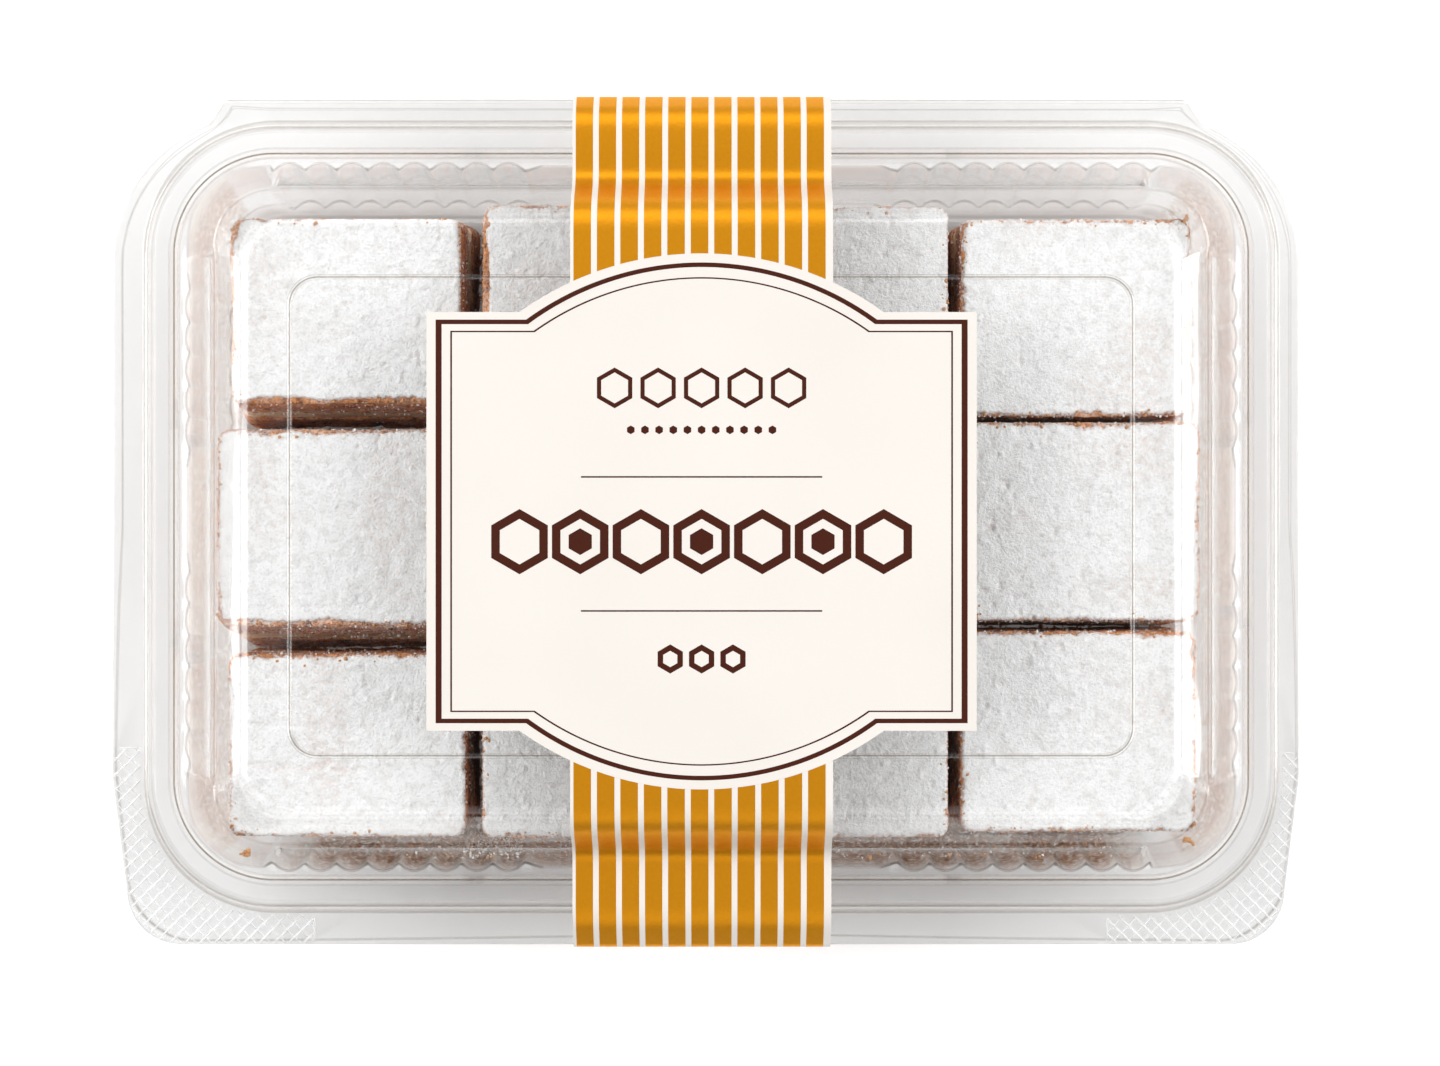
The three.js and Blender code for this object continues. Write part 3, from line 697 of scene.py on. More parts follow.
def flange_edge(hinge_edge):
    """The flange's outline with a station for each point: back arcs that end in a notch
    beside the hinge strip, and sides that taper to the pull tabs in front"""
    corner_share = 1 - SIDE_SHARE
    half_x, half_y = FLANGE_HALF
    rows = [(half_x, TAPER_START, 0.15), (half_x, 0, SIDE_SHARE / 2)]
    for step in np.linspace(0, 1, 17):
        angle = step * BACK_ARC_END
        x = half_x - BACK_ARC + BACK_ARC * math.cos(angle)
        y = half_y - HINGE_STEP - BACK_ARC + BACK_ARC * math.sin(angle)
        rows.append((x, y, SIDE_SHARE + 0.62 * corner_share * step))
    for index, (beside, before) in enumerate(HINGE_NOTCH):
        station = 1 - 0.1 * corner_share * (len(HINGE_NOTCH) - index)
        rows.append((HINGE_HALF + beside, hinge_edge - before, station))
    right = np.array(rows)
    left = right[::-1] * (-1, 1, -1) + (0, 0, 2 + SIDE_SHARE)

    def tab(side, start_angle, station):
        step = np.linspace(0, 1, 17)
        angle = start_angle + step * math.pi / 2
        x = side * FRONT_ARC_X + FRONT_ARC * np.cos(angle)
        y = FRONT_ARC - half_y + FRONT_ARC * np.sin(angle)
        return np.column_stack([x, y, station + corner_share * step * 0.98])

    back = np.array([(0, hinge_edge, 1 + SIDE_SHARE / 2)])
    front = np.array([(0, -half_y, 3 + SIDE_SHARE / 2)])
    tabs = tab(-1, math.pi, 2 + SIDE_SHARE), tab(1, 1.5 * math.pi, 3 + SIDE_SHARE)
    return np.concatenate([right, back, left, tabs[0], front, tabs[1]])


def flange_points(edge, z, places):
    flat = [np.interp(places, edge[:, 2], edge[:, axis], period=4) for axis in (0, 1)]
    return np.column_stack([*flat, np.full(len(places), z)])


def filleted(rings, folds):
    """The rings with each bend rounded as its fold says, and how dark each one's painted shade
    line is. A guard ring on either side of a bend keeps the flats flat."""
    rings = [np.array(ring, float) for ring in rings]
    made, shade_lines = [rings[0]], [0.0]
    for index in range(1, len(rings) - 1):
        here, (fillet, line) = rings[index], folds[index]
        legs = [rings[index - 1] - here, rings[index + 1] - here]
        lengths = [math.hypot(min(abs(leg[0]), abs(leg[1])), leg[3]) for leg in legs]
        reach = [leg * min(0.42, fillet / length) for leg, length in zip(legs, lengths)]
        made.append(here + reach[0] * GUARD)
        for step in np.linspace(0, 1, FILLET_STEPS):
            made.append(here + reach[0] * (1 - step) ** 2 + reach[1] * step ** 2)
        made.append(here + reach[1] * GUARD)
        shade_lines += [0.0] + [line * (1 - (2 * step - 1) ** 2) for step in np.linspace(0, 1, FILLET_STEPS)] + [0.0]
    return made + [rings[-1]], shade_lines + [folds[-1][1]]


def wall_smear_and_painted_light(points):
    """Where crumb and cream have smeared the tray's front wall, with painted shade and reflection there, and a painted
    reflection of the squares in brown on its side walls
    """
    x, y, z = points.T
    left, right = SMEAR_AND_SHADE_X
    low, high = SMEAR_AND_PAINTED_LIGHT_Z
    along = ease((x - left) / SMEAR_AND_SHADE_FADE[0]) * ease((right - x) / SMEAR_AND_SHADE_FADE[1])
    up = ease((z - low) / 8) * ease((high - z) / 3)
    patches = np.clip(0.9 + 0.7 * noise(points, 9, 77), 0, 1)
    front = along * (y < -60)
    sides = SIDE_WALL_PAINTED_REFLECTION * (np.abs(x) > 98)
    return np.maximum(front, sides) * up * patches


def frosted(points):
    """1 on the flange's parts that let less light through: the knurled tabs and the hinge"""
    x, y = points[:, 0], points[:, 1]
    right = (x > 0).astype(int)
    inner = np.abs(np.array(KNURL_INNER))[right]
    on_tab = (y < np.array(KNURL_BACK)[right]) & (np.abs(x) > inner)
    return (on_tab | (y > LID_RINGS[-1][1])).astype(float)


def shell(name, form, flange, shade_lines, material, shape):
    """One thermoformed sheet, from its middle out through its loops to the flange's edge.
    shape moves the finished points, and Solidify gives the sheet its thickness."""
    loops = form + flange
    count = len(loops[0])
    points, shade_lines = shape(np.concatenate(loops), np.repeat(shade_lines, count))
    middle = len(points)
    frost = frosted(points) * (np.arange(middle) >= len(form) * count)
    points = np.vstack([points, [*FORM_CENTRE, points[0, 2]]])
    faces = [tuple(face) for face in grid_faces(len(loops), count, True)[:, ::-1].tolist()]
    faces += fan_faces(np.arange(count), middle, False)
    # Painted shade along the folds, and the brown on the walls: crumb smear with painted shade and reflection
    fields = {"fold_shade": np.append(shade_lines, 0), "smear": wall_smear_and_painted_light(points), "frost": np.append(frost, 0)}
    piece = mesh_object(name, points, faces, [material], fields=fields)
    thick = piece.modifiers.new("sheet", "SOLIDIFY")
    thick.thickness = THIN_SHEET * MM
    thick.offset = -1
    return piece


def flange_loops(foot, hinge_edge, z, places):
    """The flange from just outside the riser's foot, over a faint painted shade line, to its outer edge, which has a
    fainter one
    """
    outer = flange_points(flange_edge(hinge_edge), z, places)
    width = np.linalg.norm(outer - foot, axis=1)[:, None]
    inset = np.minimum(EDGE_LINE / width, 0.4)
    margin = np.minimum(0.35 / width, 0.2)
    loops = [outer + (foot - outer) * share for share in (1 - margin, inset + 0.03, inset, inset - 0.03, margin)]
    return loops + [outer], [0.0, 0.0, 0.2, 0.0, 0.0, 0.12]


def bead_places(points):
    """How near each point is to the ridge of a bead: 1 on the ridge and 0 outside the bead"""
    flat = points[:, :2] - FORM_CENTRE
    near = np.zeros(len(points))
    for axis, (reach, half) in ((0, SHORT_SIDE_BEAD), (1, LONG_SIDE_BEAD)):
        across = np.abs(flat[:, axis]) - reach
        along = np.maximum(np.abs(flat[:, 1 - axis]) - half, 0)
        near = np.maximum(near, 1 - np.hypot(across, along) / BEAD_HALF_WIDTH)
    return near


def lid_shape(points, shade_lines):
    """Beads on the groove, with faint painted shade lines at their feet, and a plateau that isn't quite flat"""
    near = np.where(np.abs(points[:, 2] - GROOVE) < 1.2, bead_places(points), 0)
    slack = ease(points[:, 2] - PLATEAU + 1)
    wave = 0.12 * slack * (1 + noise(points * (1, 1, 0), 55, 5))
    shaped = points + np.outer(BEAD_HEIGHT * ease(near) - wave, (0, 0, 1))
    return shaped, np.maximum(shade_lines, 0.12 * ease(1 - np.abs(near - 0.3) * 5))


def make_lid():
    """The lid, with rings added on its groove so that the beads are smooth"""
    rings, shade_lines = filleted(LID_RINGS, LID_FOLDS)
    foot = next(i for i, ring in enumerate(rings) if ring[0] > LID_RINGS[5][0] + 0.5)
    shares = np.linspace(0, BEAD_SHARE, GROOVE_RINGS)[1:]
    rings[foot + 1:foot + 1] = [rings[foot] + (rings[foot + 1] - rings[foot]) * share for share in shares]
    shade_lines[foot + 1:foot + 1] = [0.0] * len(shares)
    places = stations(*LID_POINTS)
    loops = [ring_points(ring, places) for ring in rings]
    flange, flange_shade_lines = flange_loops(loops[-1], FLANGE_HALF[1] - HINGE_GAP, LID_FLANGE_TOP, places)
    # The second colour is the painted shade along the lid's folds
    material = clear_plastic("clear_lid", (0.967, 0.968, 0.969, 1), (0.32, 0.265, 0.2, 1), 0.04, 0.2, 0.9)
    lid = shell("lid_sheet", loops, flange, shade_lines + flange_shade_lines, material, lid_shape)
    hand_over(lid, "clear_plastic", "lid")


def tray_shape(points, shade_lines):
    """The painted shade lines along the wall's folds are fainter where it has no flutes, and
    darker in front, where less light falls"""
    places = stations(*TRAY_POINTS)
    side, part = np.floor(places).astype(int) % 4, places % 1
    plain = part >= SIDE_SHARE
    top = TRAY_RINGS[4]
    for each in range(4):
        reach = top[1] - top[2] if each % 2 == 0 else top[0] - top[2]
        here = (side == each) & (part < SIDE_SHARE)
        along = (2 * part[here] / SIDE_SHARE - 1) * reach
        plain[here] = flute_inset(each, along) == FLUTE_DEPTH * PLAIN_WALL
    low = points[:, 2] < TRAY_FLANGE_TOP - 1
    plain = np.tile(plain, len(points) // len(places)) & low
    front = (points[:, 1] < -60) & low
    return points, np.minimum(shade_lines * np.where(plain, PLAIN_LINE, 1) * np.where(front, FRONT_LINE, 1), 1)


def make_tray():
    rings, shade_lines = filleted(TRAY_RINGS, TRAY_FOLDS)
    places = stations(*TRAY_POINTS)
    loops = [ring_points(ring, places) for ring in rings]
    flange, flange_shade_lines = flange_loops(loops[-1], FLANGE_HALF[1], TRAY_FLANGE_TOP, places)
    # The second colour is the painted shade along the tray's folds
    material = clear_plastic("clear_tray", (0.93, 0.93, 0.929, 1), (0.3, 0.26, 0.22, 1), 0.05, 0.05, 0.5)
    tray = shell("tray_sheet", loops, flange, shade_lines + flange_shade_lines, material, tray_shape)
    hand_over(tray, "clear_plastic", "tray")
    fold = make_hinge_fold(material)
    hand_over(fold, "clear_plastic")


def make_hinge_fold(material):
    """The rounded fold that joins the two flanges behind"""
    low = TRAY_FLANGE_TOP - SHEET
    radius = (LID_FLANGE_TOP - low) / 2
    turn = np.linspace(-math.pi / 2, math.pi / 2, 9)
    x = np.linspace(-HINGE_HALF + 0.5, HINGE_HALF - 0.5, 40)
    y = FLANGE_HALF[1] - radius + radius * np.cos(turn)
    z = low + radius + radius * np.sin(turn)
    points = np.array([(along, y[i], z[i]) for i in range(len(turn)) for along in x])
    # Painted shade along the fold, darkest at its middle
    fold_shade = np.repeat(0.15 * np.cos(turn), len(x))
    faces = [tuple(face) for face in grid_faces(len(turn), len(x), False).tolist()]
    return mesh_object("hinge_fold", points, faces, [material], fields={"fold_shade": fold_shade, "smear": fold_shade * 0})


def radius_at(outline, angles):
    """How far a star-shaped outline lies from the form's centre at each angle"""
    flat = outline[:, :2] - FORM_CENTRE
    return np.interp(angles, np.arctan2(flat[:, 1], flat[:, 0]), np.hypot(*flat.T), period=2 * math.pi)


def rib(start, end, width, height):
    """A low rounded rib from start to end on the lid's flange"""
    along = (end - start) / np.linalg.norm(end - start)
    side = np.array([-along[1], along[0]])
    turn = np.linspace(0, math.pi, 5)
    rows = []
    for at, swell in ((start, 0.2), (start + along * 0.35, 1), (end - along * 0.35, 1), (end, 0.2)):
        flat = at + side * (width / 2 * swell * np.cos(turn))[:, None]
        rows.append(np.column_stack([flat, LID_FLANGE_TOP + height * swell * np.sin(turn)]))
    return np.concatenate(rows), grid_faces(4, len(turn), False)


def tab_ends(right):
    """The straight ribs that close one pull tab's knurled field behind and at its inner end"""
    sign = 1 if right else -1
    y, x = KNURL_BACK[right], KNURL_INNER[right]
    outer, inner = sign * (FLANGE_HALF[0] - 1.2), sign * (LID_RINGS[-1][0] + 0.8) + FORM_CENTRE[0]
    front, behind = 0.8 - FLANGE_HALF[1], FORM_CENTRE[1] - LID_RINGS[-1][1] - 0.8
    ends = [((outer, y), (inner, y)), ((x, front), (x, behind))]
    return [rib(np.array(start), np.array(end), CROSS_RIB_WIDTH, RIB_HEIGHT) for start, end in ends]


def tab_ribs(right, direction, width, height, outline, foot):
    """The ribs of one pull tab that run one way, cut to the knurled field"""
    sign = 1 if right else -1
    along = np.array([math.cos(direction), math.sin(direction)])
    side = np.array([-along[1], along[0]])
    steps = np.arange(-160, 160, 0.15)
    ribs = []
    for offset in np.arange(-160, 160, RIB_PITCH):
        line = side * offset + along * steps[:, None]
        flat = line - FORM_CENTRE
        angles, reach = np.arctan2(flat[:, 1], flat[:, 0]), np.hypot(*flat.T)
        inside = (reach < radius_at(outline, angles) - 0.35) & (reach > radius_at(foot, angles) + 0.7)
        inside &= (line[:, 1] < KNURL_BACK[right]) & (sign * line[:, 0] > sign * KNURL_INNER[right])
        runs = np.flatnonzero(np.diff(np.concatenate([[0], inside.astype(int), [0]])))
        for first, last in zip(runs[::2], runs[1::2]):
            if (last - first) * 0.15 > 1:
                ribs.append(rib(line[first], line[last - 1], width, height))
    return ribs


def make_knurls():
    places = stations(*LID_POINTS)
    outline = flange_points(flange_edge(FLANGE_HALF[1] - HINGE_GAP), 0, places)
    foot = ring_points(np.array(LID_RINGS[-1], float), places)
    material = rib_plastic()
    for right in (0, 1):
        rising = math.radians(135 if right else 45)
        ribs = tab_ribs(right, rising, RIB_WIDTH, RIB_HEIGHT, outline, foot)
        ribs += tab_ribs(right, rising + math.pi / 2, CROSS_RIB_WIDTH, RIB_HEIGHT * 0.7, outline, foot)
        ribs += tab_ends(right)
        points, faces = joined(ribs)
        knurls = mesh_object(f"knurled_tab_{'right' if right else 'left'}", points, faces, [material])
        hand_over(knurls, "clear_plastic")


# The label

def rounded_path(corners, steps=9):
    """A line in a plane through (y, z, rounding) corners, each rounded over that length"""
    corners = np.array(corners, float)
    points, roundings = corners[:, :2], corners[:, 2]
    path = [points[0]]
    for before, here, after, rounding in zip(points, points[1:], points[2:], roundings[1:]):
        if rounding == 0:
            path.append(here)
            continue
        legs = before - here, after - here
        reach = [leg * min(0.48, rounding / np.linalg.norm(leg)) for leg in legs]
        for step in np.linspace(0, 1, steps):
            path.append(here + reach[0] * (1 - step) ** 2 + reach[1] * step ** 2)
    return np.array(path + [points[-1]])


def offset_path(path, distance):
    """A line moved sideways, to its left"""
    tangent = np.gradient(path, axis=0)
    tangent /= np.linalg.norm(tangent, axis=1)[:, None]
    return path + distance * np.column_stack([-tangent[:, 1], tangent[:, 0]])


def band_side(towards):
    """The taut band's run as (y, z, rounding) corners, from its middle down the shoulder,
    over the groove and the rim, and round the flange's edge"""
    shift = towards * FORM_CENTRE[1]
    under = TRAY_FLANGE_TOP - SHEET
    edge = FLANGE_HALF[1]
    corners = [
        (30, PLATEAU, 0), (61.0 + shift, PLATEAU, 4.3), (67.2 + shift, RIM_TOP - 0.2, 3.6),
        (73.5 + shift, RIM_TOP, 1.5), (80.8 + shift, RIM_TOP, 3.2), (edge, LID_FLANGE_TOP, 0.9),
        (edge, under, 0.3), (edge - LABEL_RETURN, under, 0),
    ]
    return [(y * towards, z, rounding) for y, z, rounding in corners]


def closed_strip(path, thickness, x):
    """A strip of paper along a path of (y, z) points, as wide as x runs"""
    rows = []
    for side in (offset_path(path, 0), offset_path(path, thickness)[::-1]):
        rows += [np.column_stack([x, np.full(len(x), y), np.full(len(x), z)]) for y, z in side]
    rows.append(rows[0])
    return np.concatenate(rows), grid_faces(len(rows), len(x), False)


def plaque_edge():
    """The plaque's outline, anticlockwise from its lower left corner"""
    half_x, half_y = PLAQUE_HALF
    rise = PLAQUE_APEX - half_y
    radius = (PLAQUE_ARCH_HALF ** 2 + rise ** 2) / (2 * rise)
    spread = math.asin(PLAQUE_ARCH_HALF / radius)
    turn = np.linspace(-spread, spread, 49)
    lower = np.column_stack([radius * np.sin(turn), radius - PLAQUE_APEX - radius * np.cos(turn)])
    upper = -lower
    corners = np.array([(half_x, -half_y), (half_x, half_y)])
    return np.concatenate([[(-half_x, -half_y)], lower, corners, upper, [(-half_x, half_y)]])


def make_label():
    """The band and the plaque in one piece, both printed by the label's material"""
    path = offset_path(rounded_path(band_side(-1)[::-1] + band_side(1)), LABEL_OFFSET)
    x = LABEL_CENTRE_X + np.linspace(-LABEL_BAND_HALF, LABEL_BAND_HALF, 27)
    band = closed_strip(path, LABEL_THICKNESS, x)
    edge = plaque_edge() + (LABEL_CENTRE_X, 0)
    top = PLATEAU + LABEL_OFFSET + 0.3
    count = len(edge)
    points = np.concatenate([np.column_stack([edge, np.full(count, z)]) for z in (top - LABEL_THICKNESS, top)])
    around = [(i, (i + 1) % count, (i + 1) % count + count, i + count) for i in range(count)]
    faces = around + [tuple(range(count, 2 * count)), tuple(range(count))[::-1]]
    points, faces = joined([band, (points, faces)])
    label = mesh_object("label_paper_print", points, faces, [label_paper()])
    label.data.set_sharp_from_angle(angle=math.radians(40))
    hand_over(label, "label_paper", "label")


# The squares

def square_outline(edges, inset, count):
    """A rounded square's points and their outward directions, evenly spaced round it"""
    left, right, back, front = edges
    centre = np.array([(left + right) / 2, (back + front) / 2])
    radius = max(SQUARE_CORNER - inset, 0.3)
    half = np.array([(right - left) / 2, (back - front) / 2]) - inset
    straight = half - radius
    lengths = np.array([2 * straight[1], radius * math.pi / 2, 2 * straight[0], radius * math.pi / 2] * 2)
    ends = np.cumsum(lengths)
    places = np.arange(count) / count * ends[-1]
    stretch = np.searchsorted(ends, places, side="right")
    along = places - np.concatenate([[0], ends])[stretch]
    side = stretch // 2
    cornered = stretch % 2 == 1
    turn = np.where(cornered, along / radius, 0)
    faces, runs = FACES[side], RUNS[side]
    reach = np.where(side % 2 == 0, straight[0], straight[1])
    run_reach = np.where(side % 2 == 0, straight[1], straight[0])
    outward = faces * np.cos(turn)[:, None] + runs * np.sin(turn)[:, None]
    run = np.where(cornered, run_reach, along - run_reach)
    points = centre + faces * reach[:, None] + runs * run[:, None] + outward * radius
    return points, outward


def square_edges(row, column, z):
    """A square's left, right, back and front edge at a height, between its cut and its top"""
    bottom = np.array(BOTTOM_COLUMNS[column] + BOTTOM_ROWS[row])
    if (row + 1, column + 1) in MOVED_FEET:
        edge, place = MOVED_FEET[row + 1, column + 1]
        bottom[edge] = place
    top = np.array(TOPS[row][column])
    share = (z - SPONGE_LOW) / (SPONGE_HIGH + SUGAR_THICKNESS - SPONGE_LOW)
    return bottom + (top - bottom) * share


def slab_profile(low, high, side_rows, rounding):
    """Heights and insets from the middle of a slab's underside round its side to its top"""
    under = [(low, inset) for inset in (9, 4, 2, 1.2)]
    turn = np.linspace(0, math.pi / 2, 4)
    foot = [(low + rounding * (1 - math.cos(a)), rounding * (1 - math.sin(a))) for a in turn]
    side = [(z, 0.0) for z in np.linspace(low + rounding, high - rounding, side_rows)[1:-1]]
    shoulder = [(high - rounding * (1 - math.cos(a)), rounding * (1 - math.sin(a))) for a in turn[::-1]]
    over = [(high, inset) for inset in (1.4, 2, 2.8, 4, 9)]
    return under + foot + side + shoulder + over


def slab(row, column, low, high, inset, seed, side_rows, points_round, rounding, crumbly):
    """A layer of one square: its points, its faces and how deep each point's pore is"""
    profile = slab_profile(low, high, side_rows, rounding)
    loops, outwards, weights = [], [], []
    for z, extra in profile:
        flat, outward = square_outline(square_edges(row, column, z), inset + extra, points_round)
        loops.append(np.column_stack([flat, np.full(points_round, z)]))
        outwards.append(outward)
        weights.append(np.full(points_round, ease(1 - extra / 3)))
    points, outward, weight = np.concatenate(loops), np.concatenate(outwards), np.concatenate(weights)
    seed = seed * 97
    drag = noise(points * (1, 1, 0.25), 9, seed) * 0.22 + noise(points * (0.15, 0.15, 1), 2.2, seed + 47) * 0.16
    crumb = rough(points, 1.5, seed + 11) * 0.26 * crumbly
    pits = np.maximum(noise(points, 1.7, seed + 23) - 0.42, 0) * 1.5 * crumbly
    moved = (drag + crumb - pits) * weight
    points[:, :2] += outward * moved[:, None]
    lift = rough(points, 2.2, seed + 31) * 0.12 * crumbly
    points[:, 2] += np.where(np.abs(points[:, 2] - high) < 0.05, lift, 0)
    count = points_round
    faces = [tuple(face) for face in grid_faces(len(profile), count, True).tolist()]
    middles = len(points), len(points) + 1
    points = np.vstack([points, points[:count].mean(0), points[-count:].mean(0)])
    faces += fan_faces(np.arange(count), middles[0], True)
    faces += fan_faces(np.arange(count) + (len(profile) - 1) * count, middles[1], False)
    return points, faces, np.append(pits, [0, 0])


def make_sheet(name, row, column, low, high, seed, material):
    """A baked sheet with its cut faces, crusts that are partly painted light, pores with painted shade and dust of
    sugar
    """
    side_rows, points_round = (15, 300) if high == SPONGE_HIGH else (9, 170)
    points, faces, pits = slab(row, column, low, high, 0, seed, side_rows, points_round, 0.6, 1.3)
    # Lighter near each sheet's top and bottom: a baked crust, and painted light where the cut faces' tops are lit
    from_sheet_face = np.minimum(points[:, 2] - low, high - points[:, 2])
    crust_and_light = ease(1 - from_sheet_face / 5) * (0.7 + 0.3 * noise(points, 3, seed))
    from_cream = np.abs(points[:, 2] - CREAM_HIGH) / 8
    dust = ROW_DUST[row] + ease(1 - from_cream) * 0.35
    dust += np.maximum(noise(points * (0.4, 0.4, 1), 2.6, seed + 7), 0) * 0.5
    # The pits are also darkened in colour: painted shade
    fields = {"crust_and_light": np.clip(crust_and_light, 0, 1), "pore_shade": np.clip(pits * 2.2, 0, 1), "dust": np.clip(dust, 0, 1)}
    node = f"square_{row + 1}_{column + 1}_{name}"
    sheet = mesh_object(f"cake_{row + 1}_{column + 1}_{name}", points, faces, [material], fields=fields)
    hand_over(sheet, "honey_sponge", node)


def make_cream(row, column, seed, material):
    points, faces, _ = slab(row, column, CREAM_LOW - 0.2, CREAM_HIGH + 0.2, 0.25, seed, 9, 170, 0.3, 0.7)
    node = f"square_{row + 1}_{column + 1}_cream"
    layer = mesh_object(f"cake_{row + 1}_{column + 1}_cream", points, faces, [material])
    hand_over(layer, "cream_filling", node)


def within_square(flat, edges, overhang):
    """Points kept in a rounded square, up to an overhang past its edges, with each one's
    distance in from its outline and the number of the edge it is nearest to"""
    left, right, back, front = edges
    centre = np.array([(left + right) / 2, (back + front) / 2])
    straight = np.array([(right - left) / 2, (back - front) / 2]) - SQUARE_CORNER
    from_centre = flat - centre
    core = np.clip(from_centre, -straight, straight)
    beyond = from_centre - core
    length = np.maximum(np.linalg.norm(beyond, axis=1), 1e-6)
    reach = np.minimum(length, SQUARE_CORNER + overhang)
    kept = centre + core + beyond * (reach / length)[:, None]
    x, y = kept.T
    to_edges = np.stack([x - left, right - x, back - y, y - front])
    inside = np.where(length > 1e-5, SQUARE_CORNER - reach, to_edges.min(0))
    return kept, inside, to_edges.argmin(0)


def round_spot(flat, spot):
    """1 in the middle of a spot of (x, y, radius) and 0 outside it"""
    x, y, radius = spot
    return ease(1.4 - np.hypot(flat[:, 0] - x, flat[:, 1] - y) / radius)


def sugar_cover(flat, inside, nearest, bare, seed):
    """How far in from the sugar's ragged edge each point lies, under 0 where it is bare"""
    spots = np.column_stack([flat, np.full(len(flat), 10.0 * seed)])
    ragged = noise(spots, 4.5, seed + 1) * 0.3
    ragged += noise(spots, 1.7, seed + 2) * 0.35 + noise(spots, 0.8, seed + 3) * 0.45
    cover = inside - bare[nearest] * (1 + noise(spots, 6, seed + 4)) + 0.3 - np.maximum(ragged, 0) * 1.3
    off = sum(round_spot(flat, spot) for spot in BARE_SPOTS)
    return cover - off * (1.2 + 4 * ragged)


def make_sugar(row, column, seed, material):
    """The icing sugar on one square: a lumpy, cracked field with a ragged edge over the crust"""
    edges = square_edges(row, column, SPONGE_HIGH)
    left, right, back, front = edges
    across = np.linspace(left, right, int((right - left) / SUGAR_GRID))
    up = np.linspace(front, back, int((back - front) / SUGAR_GRID))
    flat = np.stack(np.meshgrid(across, up), -1).reshape(-1, 2)
    flat, inside, nearest = within_square(flat, edges, 0.12)
    bare = np.array(BARE_EDGES.get((row + 1, column + 1), (BARE_EDGE,) * 4))
    cover = sugar_cover(flat, inside, nearest, bare, seed * 13)
    spots = np.column_stack([flat, np.full(len(flat), 10.0 * seed)])
    lumps = noise(spots, 9, seed + 200) * 0.12 + rough(spots, 2.6, seed + 300, 4) * 0.2
    clumps = np.maximum(noise(spots, 1.1, seed + 400) - 0.5, 0) * 0.8
    pits = np.maximum(noise(spots, 1.4, seed + 500) - 0.55, 0) * 1.1
    crack = ease(1 - np.abs(noise(spots * (1, 2.4, 1), 12, seed + 700)) / 0.045)
    crack *= ease(noise(spots, 17, seed + 800) * 3 - 0.4)
    full = SUGAR_THICKNESS - 0.3 + lumps + clumps - pits - crack * 0.3
    height = full * ease(cover / 0.45) - 0.75 * ease(-cover / 0.35 + 0.2)
    points = np.column_stack([flat, SPONGE_HIGH + height])
    patch = ease(noise(spots, 13, seed + 600) * 1.6 - 0.45) + round_spot(flat, THIN_SPOT)
    near_edge = ease(1 - cover / 0.9)
    thin = np.clip(patch * 0.5 + near_edge * 0.8 + pits * 1.5 + crack * 0.4, 0, 1)
    faces = [tuple(face) for face in grid_faces(len(up), len(across), False).tolist()]
    node = f"square_{row + 1}_{column + 1}_sugar"
    fields = {"thin": thin, "edge": ease(1 - cover / 0.55)}
    sugar = mesh_object(f"cake_{row + 1}_{column + 1}_sugar", points, faces, [material], fields=fields)
    hand_over(sugar, "icing_sugar", node)


def make_squares():
    sponge_material, cream_material, sugar_material = sponge(), cream(), icing_sugar()
    for row, column in itertools.product(range(3), range(4)):
        seed = 1 + row * 4 + column
        make_sheet("lower_sheet", row, column, SPONGE_LOW, CREAM_LOW, seed, sponge_material)
        make_cream(row, column, seed + 20, cream_material)
        make_sheet("upper_sheet", row, column, CREAM_HIGH, SPONGE_HIGH, seed + 40, sponge_material)
        make_sugar(row, column, seed, sugar_material)


# Crumbs

def icosahedron():
    golden = (1 + 5 ** 0.5) / 2
    points = np.array([
        (-1, golden, 0), (1, golden, 0), (-1, -golden, 0), (1, -golden, 0),
        (0, -1, golden), (0, 1, golden), (0, -1, -golden), (0, 1, -golden),
        (golden, 0, -1), (golden, 0, 1), (-golden, 0, -1), (-golden, 0, 1),
    ]) / math.hypot(1, golden)
    near = [(a, b, c) for a, b, c in itertools.combinations(range(12), 3)
            if max(np.linalg.norm(points[a] - points[b]), np.linalg.norm(points[b] - points[c]),
                   np.linalg.norm(points[a] - points[c])) < 1.2]
    outward = [(a, b, c) if np.dot(np.cross(points[b] - points[a], points[c] - points[a]), points[a]) > 0
               else (a, c, b) for a, b, c in near]
    return points, np.array(outward)


def scatter(name, places, sizes, material, slot, random, fields=()):
    """Uneven little lumps, one at each place, as one piece"""
    unit, corners = icosahedron()
    count = len(places)
    stretch = random.uniform(0.6, 1.25, (count, 12, 1)) * random.uniform(0.7, 1.2, (count, 1, 3))
    points = unit[None] * stretch * sizes[:, None, None] / 2 + places[:, None]
    faces = (corners[None] + 12 * np.arange(count)[:, None, None]).reshape(-1, 3)
    values = {field: np.repeat(most * random.random(count) ** 2, 12) for field, most in fields}
    crumbs = mesh_object(name, points.reshape(-1, 3), faces.tolist(), [material], fields=values)
    hand_over(crumbs, slot)


def on_tray_floor(random, count):
    """Places on the tray's floor, round the squares and in the gaps between them"""
    x = random.uniform(-97, 99, count)
    y = random.uniform(-62.5, 64.5, count)
    in_columns = np.any([(x > l + 0.5) & (x < r - 0.5) for l, r in BOTTOM_COLUMNS], axis=0)
    in_rows = np.any([(y < b - 0.5) & (y > f + 0.5) for b, f in BOTTOM_ROWS], axis=0)
    return np.column_stack([x, y, np.full(count, SHEET + 0.3)])[~(in_columns & in_rows)]


